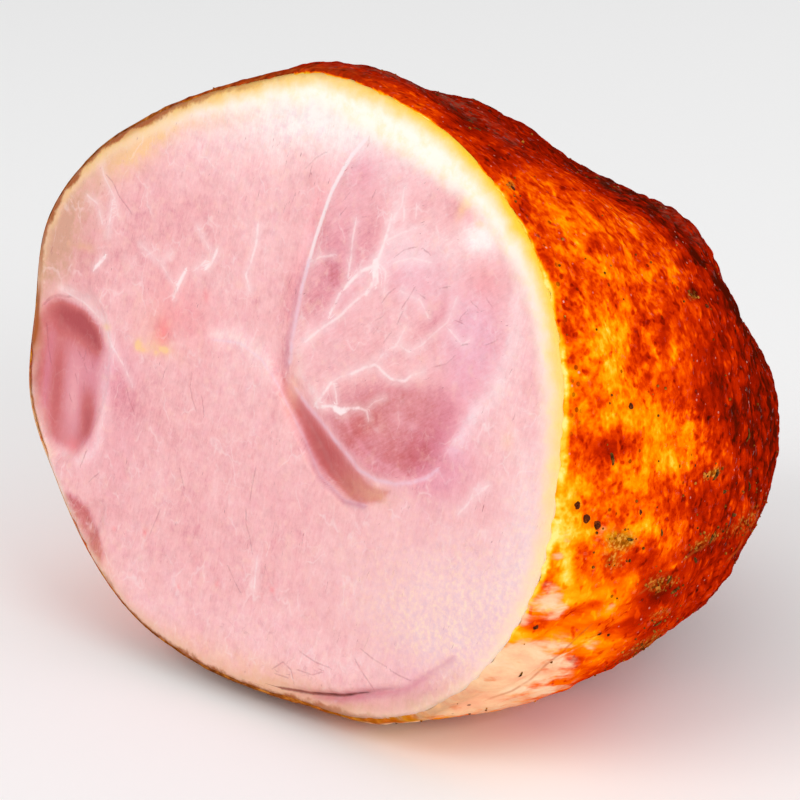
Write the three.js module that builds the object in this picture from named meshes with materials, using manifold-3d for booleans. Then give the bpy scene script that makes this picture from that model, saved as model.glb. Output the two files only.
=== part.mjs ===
// A cooked half ham, cut across once. It lies on its flattened underside, with the cut face at the
// front (-Y), leaning back a little, and the rind-covered end behind. Millimetres, +Z up. The origin
// is on the surface that it rests on, under the middle of its box.
import * as THREE from "three";
import { mergeVertices } from "three/addons/utils/BufferGeometryUtils.js";
import Module from "manifold-3d";

// The whole
const FACE_MIDDLE = [-2.93, -76.9, 94];
const FACE_LEAN = 12;
const AXIS_DROP = 7;
const LENGTH = 178;
const END_SHIFT = 6;
const END_SAG = 25;
const END_FULLNESS = 12;

// Radii of three sections, all parallel to the cut face, anticlockwise from +X as the face is seen
const RIM_RADII = [
  105, 104, 102, 98, 94, 90, 88, 86, 88, 93, 101, 107,
  104, 105, 99, 96, 94, 91, 90, 92, 100, 107, 109, 108,
];
const MIDDLE_RADII = [99, 87, 68, 70, 76, 87, 91, 90, 86, 86, 95, 108];
const FAR_RADII = [67, 54, 45, 44, 54, 60, 60, 57, 54, 53, 61, 72];
const MIDDLE_AT = 0.5;
const FAR_AT = 0.85;

// Lumps and dents of the side: angle, share of the length, height, half widths in degrees and share
const LUMPS = [
  [90, 0.09, 4, 18, 0.09],
  [52, 0.66, 5, 13, 0.1],
  [350, 0.76, 2, 14, 0.07],
  [25, 0.72, -4, 10, 0.1],
  [200, 0.35, 3, 30, 0.2],
  [150, 0.7, -3, 20, 0.12],
];

// Low swells of the side: waves round it, wave length along it, height, phase
const SWELLS = [
  [5, 74, 0.9, 0.4],
  [8, 46, 0.6, 2.1],
  [13, 33, 0.4, 4.4],
];
const SWELL_START = 0.08;
const SWELL_END = [0.6, 0.95];

// Creases that run from the lower rim along the side: angle and share at both ends, depth, half width
const CREASES = [
  [316, 0.02, 338, 0.26, 2, 7],
  [328, 0.03, 344, 0.16, 1.5, 6],
];
const CREASE_FADE = [0.15, 0.85];

// The underside sinks flat on what it lies on, over a soft turn of this height
const REST_SOFTNESS = 3;

// Relief of the cut face, in millimetres across (u) and up (v) the face from its middle
const FACE_CROWN = 0.8;
const FACE_EDGE = 0.95;
const HOLLOW_WALL = [[0, 1], [6, -7], [14, -15], [21, -22], [31, -27], [42, -25]];
const HOLLOW_DEPTH = 5.5;
const HOLLOW_REACH = 13;
const HOLLOW_FADE = [0.1, 0.95];
const LEDGE = [[21, -4], [29, -12], [37, -17], [50, -18], [61, -14]];
const LEDGE_HEIGHT = 1.4;
const LEDGE_REACH = 12;
const WALL_WIDTH = 1.6;
const SEAM = [[25, 73], [16, 68], [10, 57], [7, 46], [5, 34], [4, 24], [4, 6]];
const SEAM_DEPTH = 1.3;
const SEAM_HALF_WIDTH = 2.4;
const LOBE = { u: -86, v: -17, across: 17, up: 26, lean: 8, depth: 4, edge: 5 };
const SMALL_LOBE = { u: -70, v: -61, across: 5, up: 11, lean: 38, depth: 1.6, edge: 2.5 };
const LOBES = [LOBE, SMALL_LOBE];

// The slit over the lower flap: its path on the face, depth and width
const SLIT = [[18, -86], [29, -84.5], [40, -82], [54, -76.5], [63, -73], [70, -67], [78, -60]];
const SLIT_DEPTH = 6;
const SLIT_WIDTH = 1.3;
const SLIT_CLEARANCE = 3;
const SLIT_FADE = [0.06, 0.94];

// Spices stuck to the side: degrees round it, millimetres along it, and size against a full one
const PEPPERCORNS = [
  [354, 7, 0.9], [352, 11, 1.1], [351, 15, 0.95], [335, 5, 0.9], [333, 31, 0.9], [332, 37, 0.7], [7, 25, 0.8],
  [352, 30, 0.6], [352, 37, 0.5], [44, 5, 0.7], [23, 29, 0.5], [22, 64, 0.5], [20, 71, 0.6], [12, 56, 0.45],
  [8, 47, 0.4], [356, 57, 0.6],
];
const HERBS = [
  [0, 18, 0.9], [354, 69, 1], [351, 75, 0.9], [348, 28, 0.8], [344, 73, 0.9], [340, 53, 0.8], [338, 58, 1],
  [341, 67, 1.1], [348, 42, 0.6], [326, 12, 0.6], [332, 59, 0.9], [346, 86, 0.9], [349, 97, 0.8],
  [358, 93, 0.9],
];
const MORE_PEPPERCORNS = 12;
const FIRST_MORE_PEPPERCORN = 1;
const MORE_HERBS = 8;
const FIRST_MORE_HERB = 40;
const PEPPERCORN_RADIUS = 1.35;
const HERB_SIZE = [4.4, 1.7, 1.3];
const SPICE_STANDS_OUT = 0.5;
const GOLDEN_ANGLE = 137.508;
const GOLDEN_SHARE = 0.618034;

// The part of the side that the unlisted spices are spread over, and their sizes in turn
const SPREAD_ANGLES = [60, 230];
const SPREAD_SHARES = [0.1, 0.88];
const SPREAD_SIZES = [0.6, 0.8, 1];

// How finely it is faceted
const ROUND_STEPS = 96;
const ALONG_STEPS = 30;
const FACE_RINGS = [
  [0.96, 96], [0.86, 48], [0.72, 48], [0.58, 48], [0.44, 24], [0.3, 24], [0.15, 12],
];
const FACE_ROUNDS = 4;
const FACE_TOLERANCE = 0.16;
const PROFILE_SAMPLES = 2000;
const TYPICAL_RADII = [97, 88, 64];
const SLOPE_TURN = 0.5;
const SLOPE_RUN = 0.9;
const MERGE_DISTANCE = 1e-4;

// The pink that the meat is cooked to
const MEAT_PINK = 0xe9a9ab;

const degrees = THREE.MathUtils.degToRad;
const smooth = (low, high, x) => THREE.MathUtils.smoothstep(x, low, high);
const bell = (x) => Math.exp(-x * x);
const mix = ([start, end], t) => start + (end - start) * t;

const ACROSS = new THREE.Vector3(1, 0, 0);
const UP_FACE = new THREE.Vector3(0, Math.sin(degrees(FACE_LEAN)), Math.cos(degrees(FACE_LEAN)));
const OUT_OF_FACE = new THREE.Vector3(0, -Math.cos(degrees(FACE_LEAN)), Math.sin(degrees(FACE_LEAN)));
const AXIS = new THREE.Vector3(0, Math.cos(degrees(AXIS_DROP)), -Math.sin(degrees(AXIS_DROP)));

// A radius between the listed ones, on a smooth closed curve through them
function radiusOn(radii, angle) {
  const count = radii.length;
  const place = THREE.MathUtils.euclideanModulo(angle, 360) / 360 * count;
  const first = Math.floor(place);
  const t = place - first;
  const [a, b, c, d] = [-1, 0, 1, 2].map((step) => radii[(first + step + count) % count]);
  return b + 0.5 * t * (c - a + t * (2 * a - 5 * b + 4 * c - d + t * (3 * (b - c) + d - a)));
}

// A size that is known at the rim, the middle and the far section, anywhere between
function between(share, rim, middle, far) {
  const atRim = (share - MIDDLE_AT) * (share - FAR_AT) / (MIDDLE_AT * FAR_AT);
  const atMiddle = share * (share - FAR_AT) / (MIDDLE_AT * (MIDDLE_AT - FAR_AT));
  const atFar = share * (share - MIDDLE_AT) / (FAR_AT * (FAR_AT - MIDDLE_AT));
  return rim * atRim + middle * atMiddle + far * atFar;
}

// How the far end closes: 1 along the body, falling to 0 at its tip
function closing(share) {
  return Math.sqrt(Math.max(0, 1 - share ** END_FULLNESS));
}

// The turn between two angles, from -180 to 180
function turn(from, to) {
  return THREE.MathUtils.euclideanModulo(to - from + 180, 360) - 180;
}

// Lumps, swells and creases at a place on the side
function sideRelief(angle, share) {
  let height = 0;
  for (const [at, along, rise, wide, long] of LUMPS) {
    height += rise * bell(turn(at, angle) / wide) * bell((share - along) / long);
  }
  const shown = smooth(0, SWELL_START, share) * (1 - smooth(...SWELL_END, share));
  for (const [waves, length, rise, phase] of SWELLS) {
    const round = Math.sin(waves * degrees(angle) + phase);
    height += shown * rise * round * Math.cos(share * LENGTH / length * 2 * Math.PI + phase);
  }
  for (const [angle1, share1, angle2, share2, depth, halfWidth] of CREASES) {
    const t = THREE.MathUtils.clamp((share - share1) / (share2 - share1), 0, 1);
    const offRound = degrees(turn(angle1 + turn(angle1, angle2) * t, angle)) * RIM_RADII[0];
    const offAlong = (share - share1 - (share2 - share1) * t) * LENGTH;
    const fade = Math.sin(Math.PI * mix(CREASE_FADE, t));
    height -= depth * fade * bell(Math.hypot(offRound, offAlong) / halfWidth);
  }
  return height;
}

// Lays a point down on the plane z = 0, with a soft turn where it meets it
function settle(point) {
  if (point.z < -REST_SOFTNESS) {
    point.z = 0;
  } else if (point.z < REST_SOFTNESS) {
    point.z = (point.z + REST_SOFTNESS) ** 2 / (4 * REST_SOFTNESS);
  }
  return point;
}

// A point on the side, by its angle in degrees and its share of the length
function sidePoint(angle, share) {
  const radii = [RIM_RADII, MIDDLE_RADII, FAR_RADII].map((list) => radiusOn(list, angle));
  const radius = (between(share, ...radii) + sideRelief(angle, share)) * closing(share);
  const u = radius * Math.cos(degrees(angle)) + END_SHIFT * share ** 2;
  const v = radius * Math.sin(degrees(angle)) - END_SAG * share ** 4;
  return settle(new THREE.Vector3(...FACE_MIDDLE)
    .addScaledVector(ACROSS, u)
    .addScaledVector(UP_FACE, v)
    .addScaledVector(AXIS, share * LENGTH));
}

// The way that the side faces at a place
function sideNormal(angle, share) {
  const step = SLOPE_RUN / LENGTH;
  const round = sidePoint(angle + SLOPE_TURN, share).sub(sidePoint(angle - SLOPE_TURN, share));
  const along = sidePoint(angle, share + step).sub(sidePoint(angle, share - step));
  return round.cross(along).normalize();
}

// The nearest place on a path: how far off it is, positive on its left, and how far along, 0 to 1
function nearest(path, u, v) {
  let best = { off: Infinity, along: 0 };
  for (let i = 0; i + 1 < path.length; i++) {
    const [u1, v1] = path[i];
    const [du, dv] = [path[i + 1][0] - u1, path[i + 1][1] - v1];
    const t = THREE.MathUtils.clamp(((u - u1) * du + (v - v1) * dv) / (du * du + dv * dv), 0, 1);
    const off = Math.hypot(u - u1 - du * t, v - v1 - dv * t);
    if (off < Math.abs(best.off)) {
      const left = du * (v - v1) - dv * (u - u1) > 0;
      best = { off: left ? off : -off, along: (i + t) / (path.length - 1) };
    }
  }
  return best;
}

// Height of the cut face over its flat plane
function faceRelief(u, v) {
  const out = Math.hypot(u, v) / radiusOn(RIM_RADII, THREE.MathUtils.radToDeg(Math.atan2(v, u)));
  const wall = nearest(HOLLOW_WALL, u, v);
  const inHollow = smooth(-WALL_WIDTH, WALL_WIDTH, wall.off) * (1 - smooth(0, HOLLOW_REACH, wall.off));
  const ledge = nearest(LEDGE, u, v);
  const onLedge = smooth(-WALL_WIDTH, WALL_WIDTH, ledge.off) * (1 - smooth(0, LEDGE_REACH, ledge.off));
  const seam = nearest(SEAM, u, v);
  let height = FACE_CROWN;
  height -= HOLLOW_DEPTH * inHollow * Math.sin(Math.PI * mix(HOLLOW_FADE, wall.along));
  height += LEDGE_HEIGHT * onLedge * Math.sin(Math.PI * ledge.along);
  height -= SEAM_DEPTH * bell(seam.off / SEAM_HALF_WIDTH) * Math.sin(Math.PI * seam.along);
  for (const lobe of LOBES) {
    const [du, dv] = [u - lobe.u, v - lobe.v];
    const [c, s] = [Math.cos(degrees(lobe.lean)), Math.sin(degrees(lobe.lean))];
    const far = Math.hypot((du * c - dv * s) / lobe.across, (du * s + dv * c) / lobe.up);
    const edge = lobe.edge / lobe.across / 2;
    height -= lobe.depth * (1 - smooth(1 - edge, 1 + edge, far));
  }
  return height * (1 - smooth(FACE_EDGE, 1, out));
}

// A point on the cut face
function facePoint(u, v) {
  return new THREE.Vector3(...FACE_MIDDLE)
    .addScaledVector(ACROSS, u)
    .addScaledVector(UP_FACE, v)
    .addScaledVector(OUT_OF_FACE, faceRelief(u, v));
}

// Shares of the length that lie evenly along the side from the rim to the tip
function evenShares(steps) {
  const shares = [0];
  const run = [0];
  for (let i = 1; i <= PROFILE_SAMPLES; i++) {
    const share = 1 - (1 - i / PROFILE_SAMPLES) ** 2;
    const last = shares[i - 1];
    const rise = between(share, ...TYPICAL_RADII) * closing(share)
      - between(last, ...TYPICAL_RADII) * closing(last);
    shares.push(share);
    run.push(run[i - 1] + Math.hypot((share - last) * LENGTH, rise));
  }
  const total = run[PROFILE_SAMPLES];
  let at = 0;
  return Array.from({ length: steps + 1 }, (_, k) => {
    while (at < PROFILE_SAMPLES && run[at] < total * k / steps) {
      at += 1;
    }
    return shares[at];
  });
}

// Joins a ring of corners to the next one in, which has as many corners or half as many
function stitch(outer, inner) {
  const triangles = [];
  const ratio = outer.length / inner.length;
  inner.forEach((here, i) => {
    const next = inner[(i + 1) % inner.length];
    const fan = Array.from({ length: ratio + 1 }, (_, k) => outer[(i * ratio + k) % outer.length]);
    triangles.push([here, fan[0], fan[1]]);
    if (ratio === 2) {
      triangles.push([here, fan[1], next], [next, fan[1], fan[2]]);
    } else {
      triangles.push([here, fan[1], next]);
    }
  });
  return triangles;
}

// Splits each triangle at the middles of its sides that have one
function splitAt(middles, [a, b, c]) {
  const middle = (p, q) => middles.get(Math.min(p, q) + " " + Math.max(p, q));
  const turns = [[a, b, c], [b, c, a], [c, a, b]];
  const found = turns.map(([p, q]) => middle(p, q));
  const count = found.filter((m) => m !== undefined).length;
  if (count === 0) {
    return [[a, b, c]];
  }
  if (count === 3) {
    const [ab, bc, ca] = found;
    return [[a, ab, ca], [ab, b, bc], [ca, bc, c], [ab, bc, ca]];
  }
  const follows = (i) => count === 1 || found[(i + 1) % 3] !== undefined;
  const first = found.findIndex((m, i) => m !== undefined && follows(i));
  const [p, q, r] = turns[first];
  const pq = found[first];
  if (count === 1) {
    return [[p, pq, r], [pq, q, r]];
  }
  const qr = found[(first + 1) % 3];
  return [[pq, q, qr], [p, pq, qr], [p, qr, r]];
}

// The cut face inside its rim: points across and up the face, and triangles on them, made finer
// where the relief bends. The first points are the rim's.
function faceMesh() {
  const flat = [];
  const ringOf = (share, count) => Array.from({ length: count }, (_, i) => {
    const angle = i / count * 360;
    const radius = radiusOn(RIM_RADII, angle) * share;
    flat.push([radius * Math.cos(degrees(angle)), radius * Math.sin(degrees(angle))]);
    return flat.length - 1;
  });
  const rings = [ringOf(1, ROUND_STEPS), ...FACE_RINGS.map(([share, count]) => ringOf(share, count))];
  flat.push([0, 0]);
  let triangles = rings.slice(1).flatMap((ring, k) => stitch(rings[k], ring));
  const last = rings.at(-1);
  last.forEach((corner, i) => triangles.push([flat.length - 1, corner, last[(i + 1) % last.length]]));
  for (let round = 0; round < FACE_ROUNDS; round++) {
    const middles = new Map();
    for (const [p, q] of triangles.flatMap(([a, b, c]) => [[a, b], [b, c], [c, a]])) {
      if (p > q || q < ROUND_STEPS) {
        continue;
      }
      const [[u1, v1], [u2, v2]] = [flat[p], flat[q]];
      const off = Math.abs(faceRelief((u1 + u2) / 2, (v1 + v2) / 2)
        - (faceRelief(u1, v1) + faceRelief(u2, v2)) / 2);
      if (off > FACE_TOLERANCE) {
        flat.push([(u1 + u2) / 2, (v1 + v2) / 2]);
        middles.set(p + " " + q, flat.length - 1);
      }
    }
    triangles = triangles.flatMap((triangle) => splitAt(middles, triangle));
  }
  return { flat, triangles };
}

// The whole body: the face, then rings of points from its rim over the side to the far tip
function bodyGeometry() {
  const { flat, triangles } = faceMesh();
  const points = flat.map(([u, v]) => facePoint(u, v));
  const shares = evenShares(ALONG_STEPS);
  let ring = Array.from({ length: ROUND_STEPS }, (_, i) => i);
  for (const share of shares.slice(1, -1)) {
    const next = ring.map((_, i) => points.push(sidePoint(i / ROUND_STEPS * 360, share)) - 1);
    triangles.push(...stitch(next, ring));
    ring = next;
  }
  points.push(sidePoint(0, 1));
  ring.forEach((corner, i) => {
    triangles.push([points.length - 1, ring[(i + 1) % ROUND_STEPS], corner]);
  });
  return geometryOf(points, triangles);
}

// The wedge of air in the slit: three-sided, pointing into the meat, closing at both ends
function slitGeometry() {
  const points = [];
  const triangles = [];
  const last = SLIT.length - 1;
  SLIT.forEach(([u, v], i) => {
    const [before, after] = [SLIT[Math.max(i - 1, 0)], SLIT[Math.min(i + 1, last)]];
    const along = new THREE.Vector2(after[0] - before[0], after[1] - before[1]).normalize();
    const open = Math.sin(Math.PI * mix(SLIT_FADE, i / last));
    const half = SLIT_WIDTH / 2 * open * (SLIT_DEPTH + SLIT_CLEARANCE) / SLIT_DEPTH;
    const place = (side, height) => new THREE.Vector3(...FACE_MIDDLE)
      .addScaledVector(ACROSS, u - along.y * side)
      .addScaledVector(UP_FACE, v + along.x * side)
      .addScaledVector(OUT_OF_FACE, height);
    points.push(place(half, SLIT_CLEARANCE), place(-half, SLIT_CLEARANCE), place(0, -SLIT_DEPTH * open));
  });
  for (let i = 0; i < last; i++) {
    for (let k = 0; k < 3; k++) {
      const [a, b] = [3 * i + k, 3 * i + (k + 1) % 3];
      triangles.push([a, b, b + 3]);
      triangles.push([a, b + 3, a + 3]);
    }
  }
  triangles.push([0, 2, 1]);
  triangles.push([3 * last, 3 * last + 1, 3 * last + 2]);
  return geometryOf(points, triangles);
}

function geometryOf(points, triangles) {
  const geometry = new THREE.BufferGeometry();
  geometry.setAttribute("position", new THREE.Float32BufferAttribute(points.flatMap((p) => p.toArray()), 3));
  geometry.setIndex(triangles.flat());
  return geometry;
}

// A spice of some size laid on the side, its longest way turned
function laidOn(shape, [angle, along, size], turned) {
  const share = along / LENGTH;
  const normal = sideNormal(angle, share);
  const facing = new THREE.Quaternion().setFromUnitVectors(new THREE.Vector3(0, 0, 1), normal);
  const spun = new THREE.Quaternion().setFromAxisAngle(new THREE.Vector3(0, 0, 1), degrees(turned));
  const place = sidePoint(angle, share).addScaledVector(normal, SPICE_STANDS_OUT * size);
  const scale = new THREE.Vector3(size, size, size);
  const matrix = new THREE.Matrix4().compose(place, facing.multiply(spun), scale);
  return shape.clone().applyMatrix4(matrix);
}

// Places and sizes on the part of the side away from the listed spices, spread by the golden section
function spreadPlaces(count, first) {
  return Array.from({ length: count }, (_, k) => [
    SPREAD_ANGLES[0] + (k + first) * GOLDEN_ANGLE % (SPREAD_ANGLES[1] - SPREAD_ANGLES[0]),
    LENGTH * mix(SPREAD_SHARES, (k + first) * GOLDEN_SHARE % 1),
    SPREAD_SIZES[k % SPREAD_SIZES.length],
  ]);
}

const wasm = await Module();
wasm.setup();

// A closed geometry as a solid that can be joined and cut
function solidOf(geometry) {
  const plain = geometry.clone();
  plain.deleteAttribute("normal");
  plain.deleteAttribute("uv");
  const merged = mergeVertices(plain, MERGE_DISTANCE);
  return new wasm.Manifold(new wasm.Mesh({
    numProp: 3,
    vertProperties: new Float32Array(merged.attributes.position.array),
    triVerts: new Uint32Array(merged.index.array),
  }));
}

const peppercorn = new THREE.IcosahedronGeometry(PEPPERCORN_RADIUS, 0);
const herb = new THREE.OctahedronGeometry(0.5, 0).scale(...HERB_SIZE);
const peppercornPlaces = [...PEPPERCORNS, ...spreadPlaces(MORE_PEPPERCORNS, FIRST_MORE_PEPPERCORN)];
const herbPlaces = [...HERBS, ...spreadPlaces(MORE_HERBS, FIRST_MORE_HERB)];

let ham = solidOf(bodyGeometry()).subtract(solidOf(slitGeometry()));
peppercornPlaces.forEach((place, k) => {
  ham = ham.add(solidOf(laidOn(peppercorn, place, k * GOLDEN_ANGLE)));
});
herbPlaces.forEach((place, k) => {
  ham = ham.add(solidOf(laidOn(herb, place, k * GOLDEN_ANGLE)));
});

const cut = ham.getMesh();
const geometry = new THREE.BufferGeometry();
geometry.setAttribute("position", new THREE.BufferAttribute(new Float32Array(cut.vertProperties), 3));
geometry.setIndex(new THREE.BufferAttribute(new Uint32Array(cut.triVerts), 1));
geometry.computeVertexNormals();

const meat = new THREE.MeshStandardMaterial({ color: MEAT_PINK, roughness: 0.5, metalness: 0 });
const hamMesh = new THREE.Mesh(geometry, meat);
hamMesh.name = "ham";

const group = new THREE.Group();
group.add(hamMesh);

export default group;
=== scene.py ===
# A cooked half ham, cut across once: its pink cut face with muscles, membranes and white fat, the
# glossy smoked rind round it, and the peppercorns, herb flakes and spice crumbs stuck to the rind.
import math

import bpy
import numpy as np
from mathutils import Matrix, Vector, noise


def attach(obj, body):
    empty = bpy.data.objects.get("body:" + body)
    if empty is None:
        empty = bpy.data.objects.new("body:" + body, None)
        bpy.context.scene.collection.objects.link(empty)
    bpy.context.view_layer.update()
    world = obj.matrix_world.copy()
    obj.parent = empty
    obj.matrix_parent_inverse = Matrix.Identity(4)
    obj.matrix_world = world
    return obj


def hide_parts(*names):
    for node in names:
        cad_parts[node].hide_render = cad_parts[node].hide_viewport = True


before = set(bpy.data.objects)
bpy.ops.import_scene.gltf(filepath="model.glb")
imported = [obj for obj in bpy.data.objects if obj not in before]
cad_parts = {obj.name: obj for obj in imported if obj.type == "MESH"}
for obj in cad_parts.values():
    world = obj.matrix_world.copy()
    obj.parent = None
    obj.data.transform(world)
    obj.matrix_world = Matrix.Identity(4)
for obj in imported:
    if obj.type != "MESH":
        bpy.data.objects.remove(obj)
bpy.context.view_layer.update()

# The view
# The camera stands where the photograph was taken from: in front, to the right and a little above,
# aimed so that the middle of the cut face lands on its place in the picture.
MM = 0.001
FACE_MIDDLE = np.array([-2.93, -76.9, 94.0])
PHOTO_SIDE = 800
FACE_MIDDLE_IN_PHOTO = (277, 381)
MILLIMETRES_PER_PIXEL = 0.285
CAMERA_AZIMUTH = math.radians(42)
CAMERA_ELEVATION = math.radians(19)
CAMERA_DISTANCE = 900
SENSOR_WIDTH = 36

back = np.array([
    math.sin(CAMERA_AZIMUTH) * math.cos(CAMERA_ELEVATION),
    -math.cos(CAMERA_AZIMUTH) * math.cos(CAMERA_ELEVATION),
    math.sin(CAMERA_ELEVATION),
])
right = np.array([math.cos(CAMERA_AZIMUTH), math.sin(CAMERA_AZIMUTH), 0])
up = np.cross(back, right)
aim_across = (FACE_MIDDLE_IN_PHOTO[0] - PHOTO_SIDE / 2) * MILLIMETRES_PER_PIXEL
aim_up = (PHOTO_SIDE / 2 - FACE_MIDDLE_IN_PHOTO[1]) * MILLIMETRES_PER_PIXEL
camera_place = FACE_MIDDLE + back * CAMERA_DISTANCE - right * aim_across - up * aim_up

camera = bpy.data.objects.new("camera", bpy.data.cameras.new("camera"))
camera.data.sensor_width = SENSOR_WIDTH
camera.data.lens = SENSOR_WIDTH * CAMERA_DISTANCE / (PHOTO_SIDE * MILLIMETRES_PER_PIXEL)
camera.data.clip_end = 100
turned = Matrix([list(right), list(up), list(back)]).transposed().to_4x4()
camera.matrix_world = Matrix.Translation(Vector(camera_place * MM)) @ turned
bpy.context.scene.collection.objects.link(camera)
bpy.context.scene.camera = camera

# Floor and light
# A plain white floor and a white room, with one big soft lamp high on the left, a weaker one on the
# right and a low one behind for the gloss along the top.
FLOOR_SIZE = 10.0
FLOOR_DROP = 0.0003
FLOOR_COLOUR = (250, 250, 250)
ROOM_COLOUR = (255, 255, 255)
ROOM_BRIGHTNESS = 0.66
# Each lamp: its name, its place and its side in metres, and its power in watts
LAMPS = [
    ("key", (-0.55, -1.5, 1.35), 1.1, 10),
    ("fill", (1.9, -0.5, 0.85), 1.0, 15),
    ("rim", (0.5, 1.6, 1.2), 0.8, 4),
]
LAMP_AIM = (0, 0, 0.09)


def paint(red, green, blue, alpha=1.0):
    """A colour as the eye reads it, 0 to 255, turned into the light that a shader works with."""
    shades = []
    for shade in (red, green, blue):
        shade = shade / 255
        shades.append(shade / 12.92 if shade <= 0.04045 else ((shade + 0.055) / 1.055) ** 2.4)
    return (*shades, alpha)


floor_mesh = bpy.data.meshes.new("floor")
half = FLOOR_SIZE / 2
corners = [(-half, -half), (half, -half), (half, half), (-half, half)]
floor_mesh.from_pydata([(x, y, -FLOOR_DROP) for x, y in corners], [], [(0, 1, 2, 3)])
floor = bpy.data.objects.new("floor", floor_mesh)
bpy.context.scene.collection.objects.link(floor)
floor_paint = bpy.data.materials.new("pale_floor")
floor_paint.use_nodes = True
floor_shader = floor_paint.node_tree.nodes["Principled BSDF"]
floor_shader.inputs["Base Color"].default_value = paint(*FLOOR_COLOUR)
floor_shader.inputs["Roughness"].default_value = 0.9
floor_shader.inputs["Specular IOR Level"].default_value = 0.1
floor.data.materials.append(floor_paint)

room = bpy.data.worlds.new("white_room")
room.use_nodes = True
room.node_tree.nodes["Background"].inputs["Color"].default_value = paint(*ROOM_COLOUR)
room.node_tree.nodes["Background"].inputs["Strength"].default_value = ROOM_BRIGHTNESS
bpy.context.scene.world = room
bpy.context.scene.view_settings.view_transform = "Standard"

for name, place, size, power in LAMPS:
    lamp = bpy.data.objects.new(name + "_lamp", bpy.data.lights.new(name + "_lamp", "AREA"))
    lamp.data.size = size
    lamp.data.energy = power
    lamp.location = place
    lamp.rotation_euler = (Vector(LAMP_AIM) - Vector(place)).to_track_quat("-Z", "Y").to_euler()
    bpy.context.scene.collection.objects.link(lamp)

# The meat
# The cured and cooked meat of a boneless ham, sliced across: pink muscles that meet at pale
# membranes, a white band of fat outside them, and a hollow where two muscles have parted.
FACE_LEAN = math.radians(12)
AXIS_DROP = math.radians(7)
LENGTH = 178
END_SHIFT = 6
END_SAG = 25
END_FULLNESS = 12
# How far the side lies from the middle, in millimetres, evenly round from +X, at three sections
RIM_RADII = [
    105, 104, 102, 98, 94, 90, 88, 86, 88, 93, 101, 107,
    104, 105, 99, 96, 94, 91, 90, 92, 100, 107, 109, 108,
]
MIDDLE_RADII = [99, 87, 68, 70, 76, 87, 91, 90, 86, 86, 95, 108]
FAR_RADII = [67, 54, 45, 44, 54, 60, 60, 57, 54, 53, 61, 72]
MIDDLE_AT = 0.5
FAR_AT = 0.85
# Each lump: degrees round, share along, rise in millimetres, half width in degrees, half length
# as a share
LUMPS = [
    (90, 0.09, 4, 18, 0.09),
    (52, 0.66, 5, 13, 0.1),
    (350, 0.76, 2, 14, 0.07),
    (25, 0.72, -4, 10, 0.1),
    (200, 0.35, 3, 30, 0.2),
    (150, 0.7, -3, 20, 0.12),
]
# Each swell: waves round, millimetres from wave to wave along, rise in millimetres, and where it starts
SWELLS = [(5, 74, 0.9, 0.4), (8, 46, 0.6, 2.1), (13, 33, 0.4, 4.4)]
SWELL_START = 0.08
SWELL_END = (0.6, 0.95)
# Each crease: degrees round and share along at both ends, depth and half width in millimetres
CREASES = [(316, 0.02, 338, 0.26, 2, 7), (328, 0.03, 344, 0.16, 1.5, 6)]
REST_SOFTNESS = 3
EDGE_ROUNDING = 2.4
SKIN = 0.9

FACE_CROWN = 0.8
FACE_EDGE = 0.95
HOLLOW_WALL = [(0, 1), (6, -7), (14, -15), (21, -22), (31, -27), (42, -25)]
HOLLOW_DEPTH = 5.5
HOLLOW_REACH = 13
LEDGE = [(21, -4), (29, -12), (37, -17), (50, -18), (61, -14)]
LEDGE_HEIGHT = 1.4
LEDGE_REACH = 12
WALL_WIDTH = 2.2
SEAM = [(25, 73), (16, 68), (10, 57), (7, 46), (5, 34), (4, 24), (4, 6)]
SEAM_DEPTH = 1.3
SEAM_HALF_WIDTH = 2.4
# Each lobe: its place on the face, half width, half height, lean in degrees, depth and width of its edge
LOBES = [(-86, -17, 17, 26, 8, 4, 5), (-70, -61, 5, 11, 38, 1.6, 2.5)]
SLIT = [(18, -86), (29, -84.5), (40, -82), (54, -76.5), (63, -73), (70, -67), (78, -60)]
SLIT_DEPTH = 4
SLIT_HALF_WIDTH = 1.3
SLIT_CLOSING = 0.85
SLIT_CLOSES = (0.35, 0.7)
FACE_CELLS = 298
MIDDLE_CROWDING = 0.3
MEAT_SIDE_SHARES = (0.01, 0.03, 0.3, 0.55, 0.75, 0.9)
MEAT_SIDE_INSETS = (2, 6, 9, 9, 9, 9)
# Each grain of the surface: its size and rise in millimetres, and the number that starts its noise
GRAIN = [(16, 0.22, 1), (5, 0.1, 2), (1.7, 0.045, 3)]

ACROSS = np.array([1.0, 0, 0])
UP_FACE = np.array([0, math.sin(FACE_LEAN), math.cos(FACE_LEAN)])
OUT_OF_FACE = np.array([0, -math.cos(FACE_LEAN), math.sin(FACE_LEAN)])
AXIS = np.array([0, math.cos(AXIS_DROP), -math.sin(AXIS_DROP)])


def smooth(low, high, x):
    """0 below low, 1 above high, and a soft step between."""
    t = np.clip((x - low) / (high - low), 0, 1)
    return t * t * (3 - 2 * t)


def bell(x):
    return np.exp(-x * x)


def ring_value(values, angle):
    """A value between the listed ones, which lie evenly round the ham, on a smooth closed curve."""
    values = np.array(values, float)
    count = len(values)
    place = (angle % 360) / 360 * count
    first = np.floor(place).astype(int)
    t = place - first
    a, b, c, d = (values[(first + step) % count] for step in (-1, 0, 1, 2))
    return b + 0.5 * t * (c - a + t * (2 * a - 5 * b + 4 * c - d + t * (3 * (b - c) + d - a)))


def between(share, rim, middle, far):
    """A size that is known at the rim, the middle and the far section, anywhere between."""
    at_rim = (share - MIDDLE_AT) * (share - FAR_AT) / (MIDDLE_AT * FAR_AT)
    at_middle = share * (share - FAR_AT) / (MIDDLE_AT * (MIDDLE_AT - FAR_AT))
    at_far = share * (share - MIDDLE_AT) / (FAR_AT * (FAR_AT - MIDDLE_AT))
    return rim * at_rim + middle * at_middle + far * at_far


def turn(start, end):
    """Degrees from one angle to another, the short way round."""
    return (end - start + 180) % 360 - 180


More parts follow.
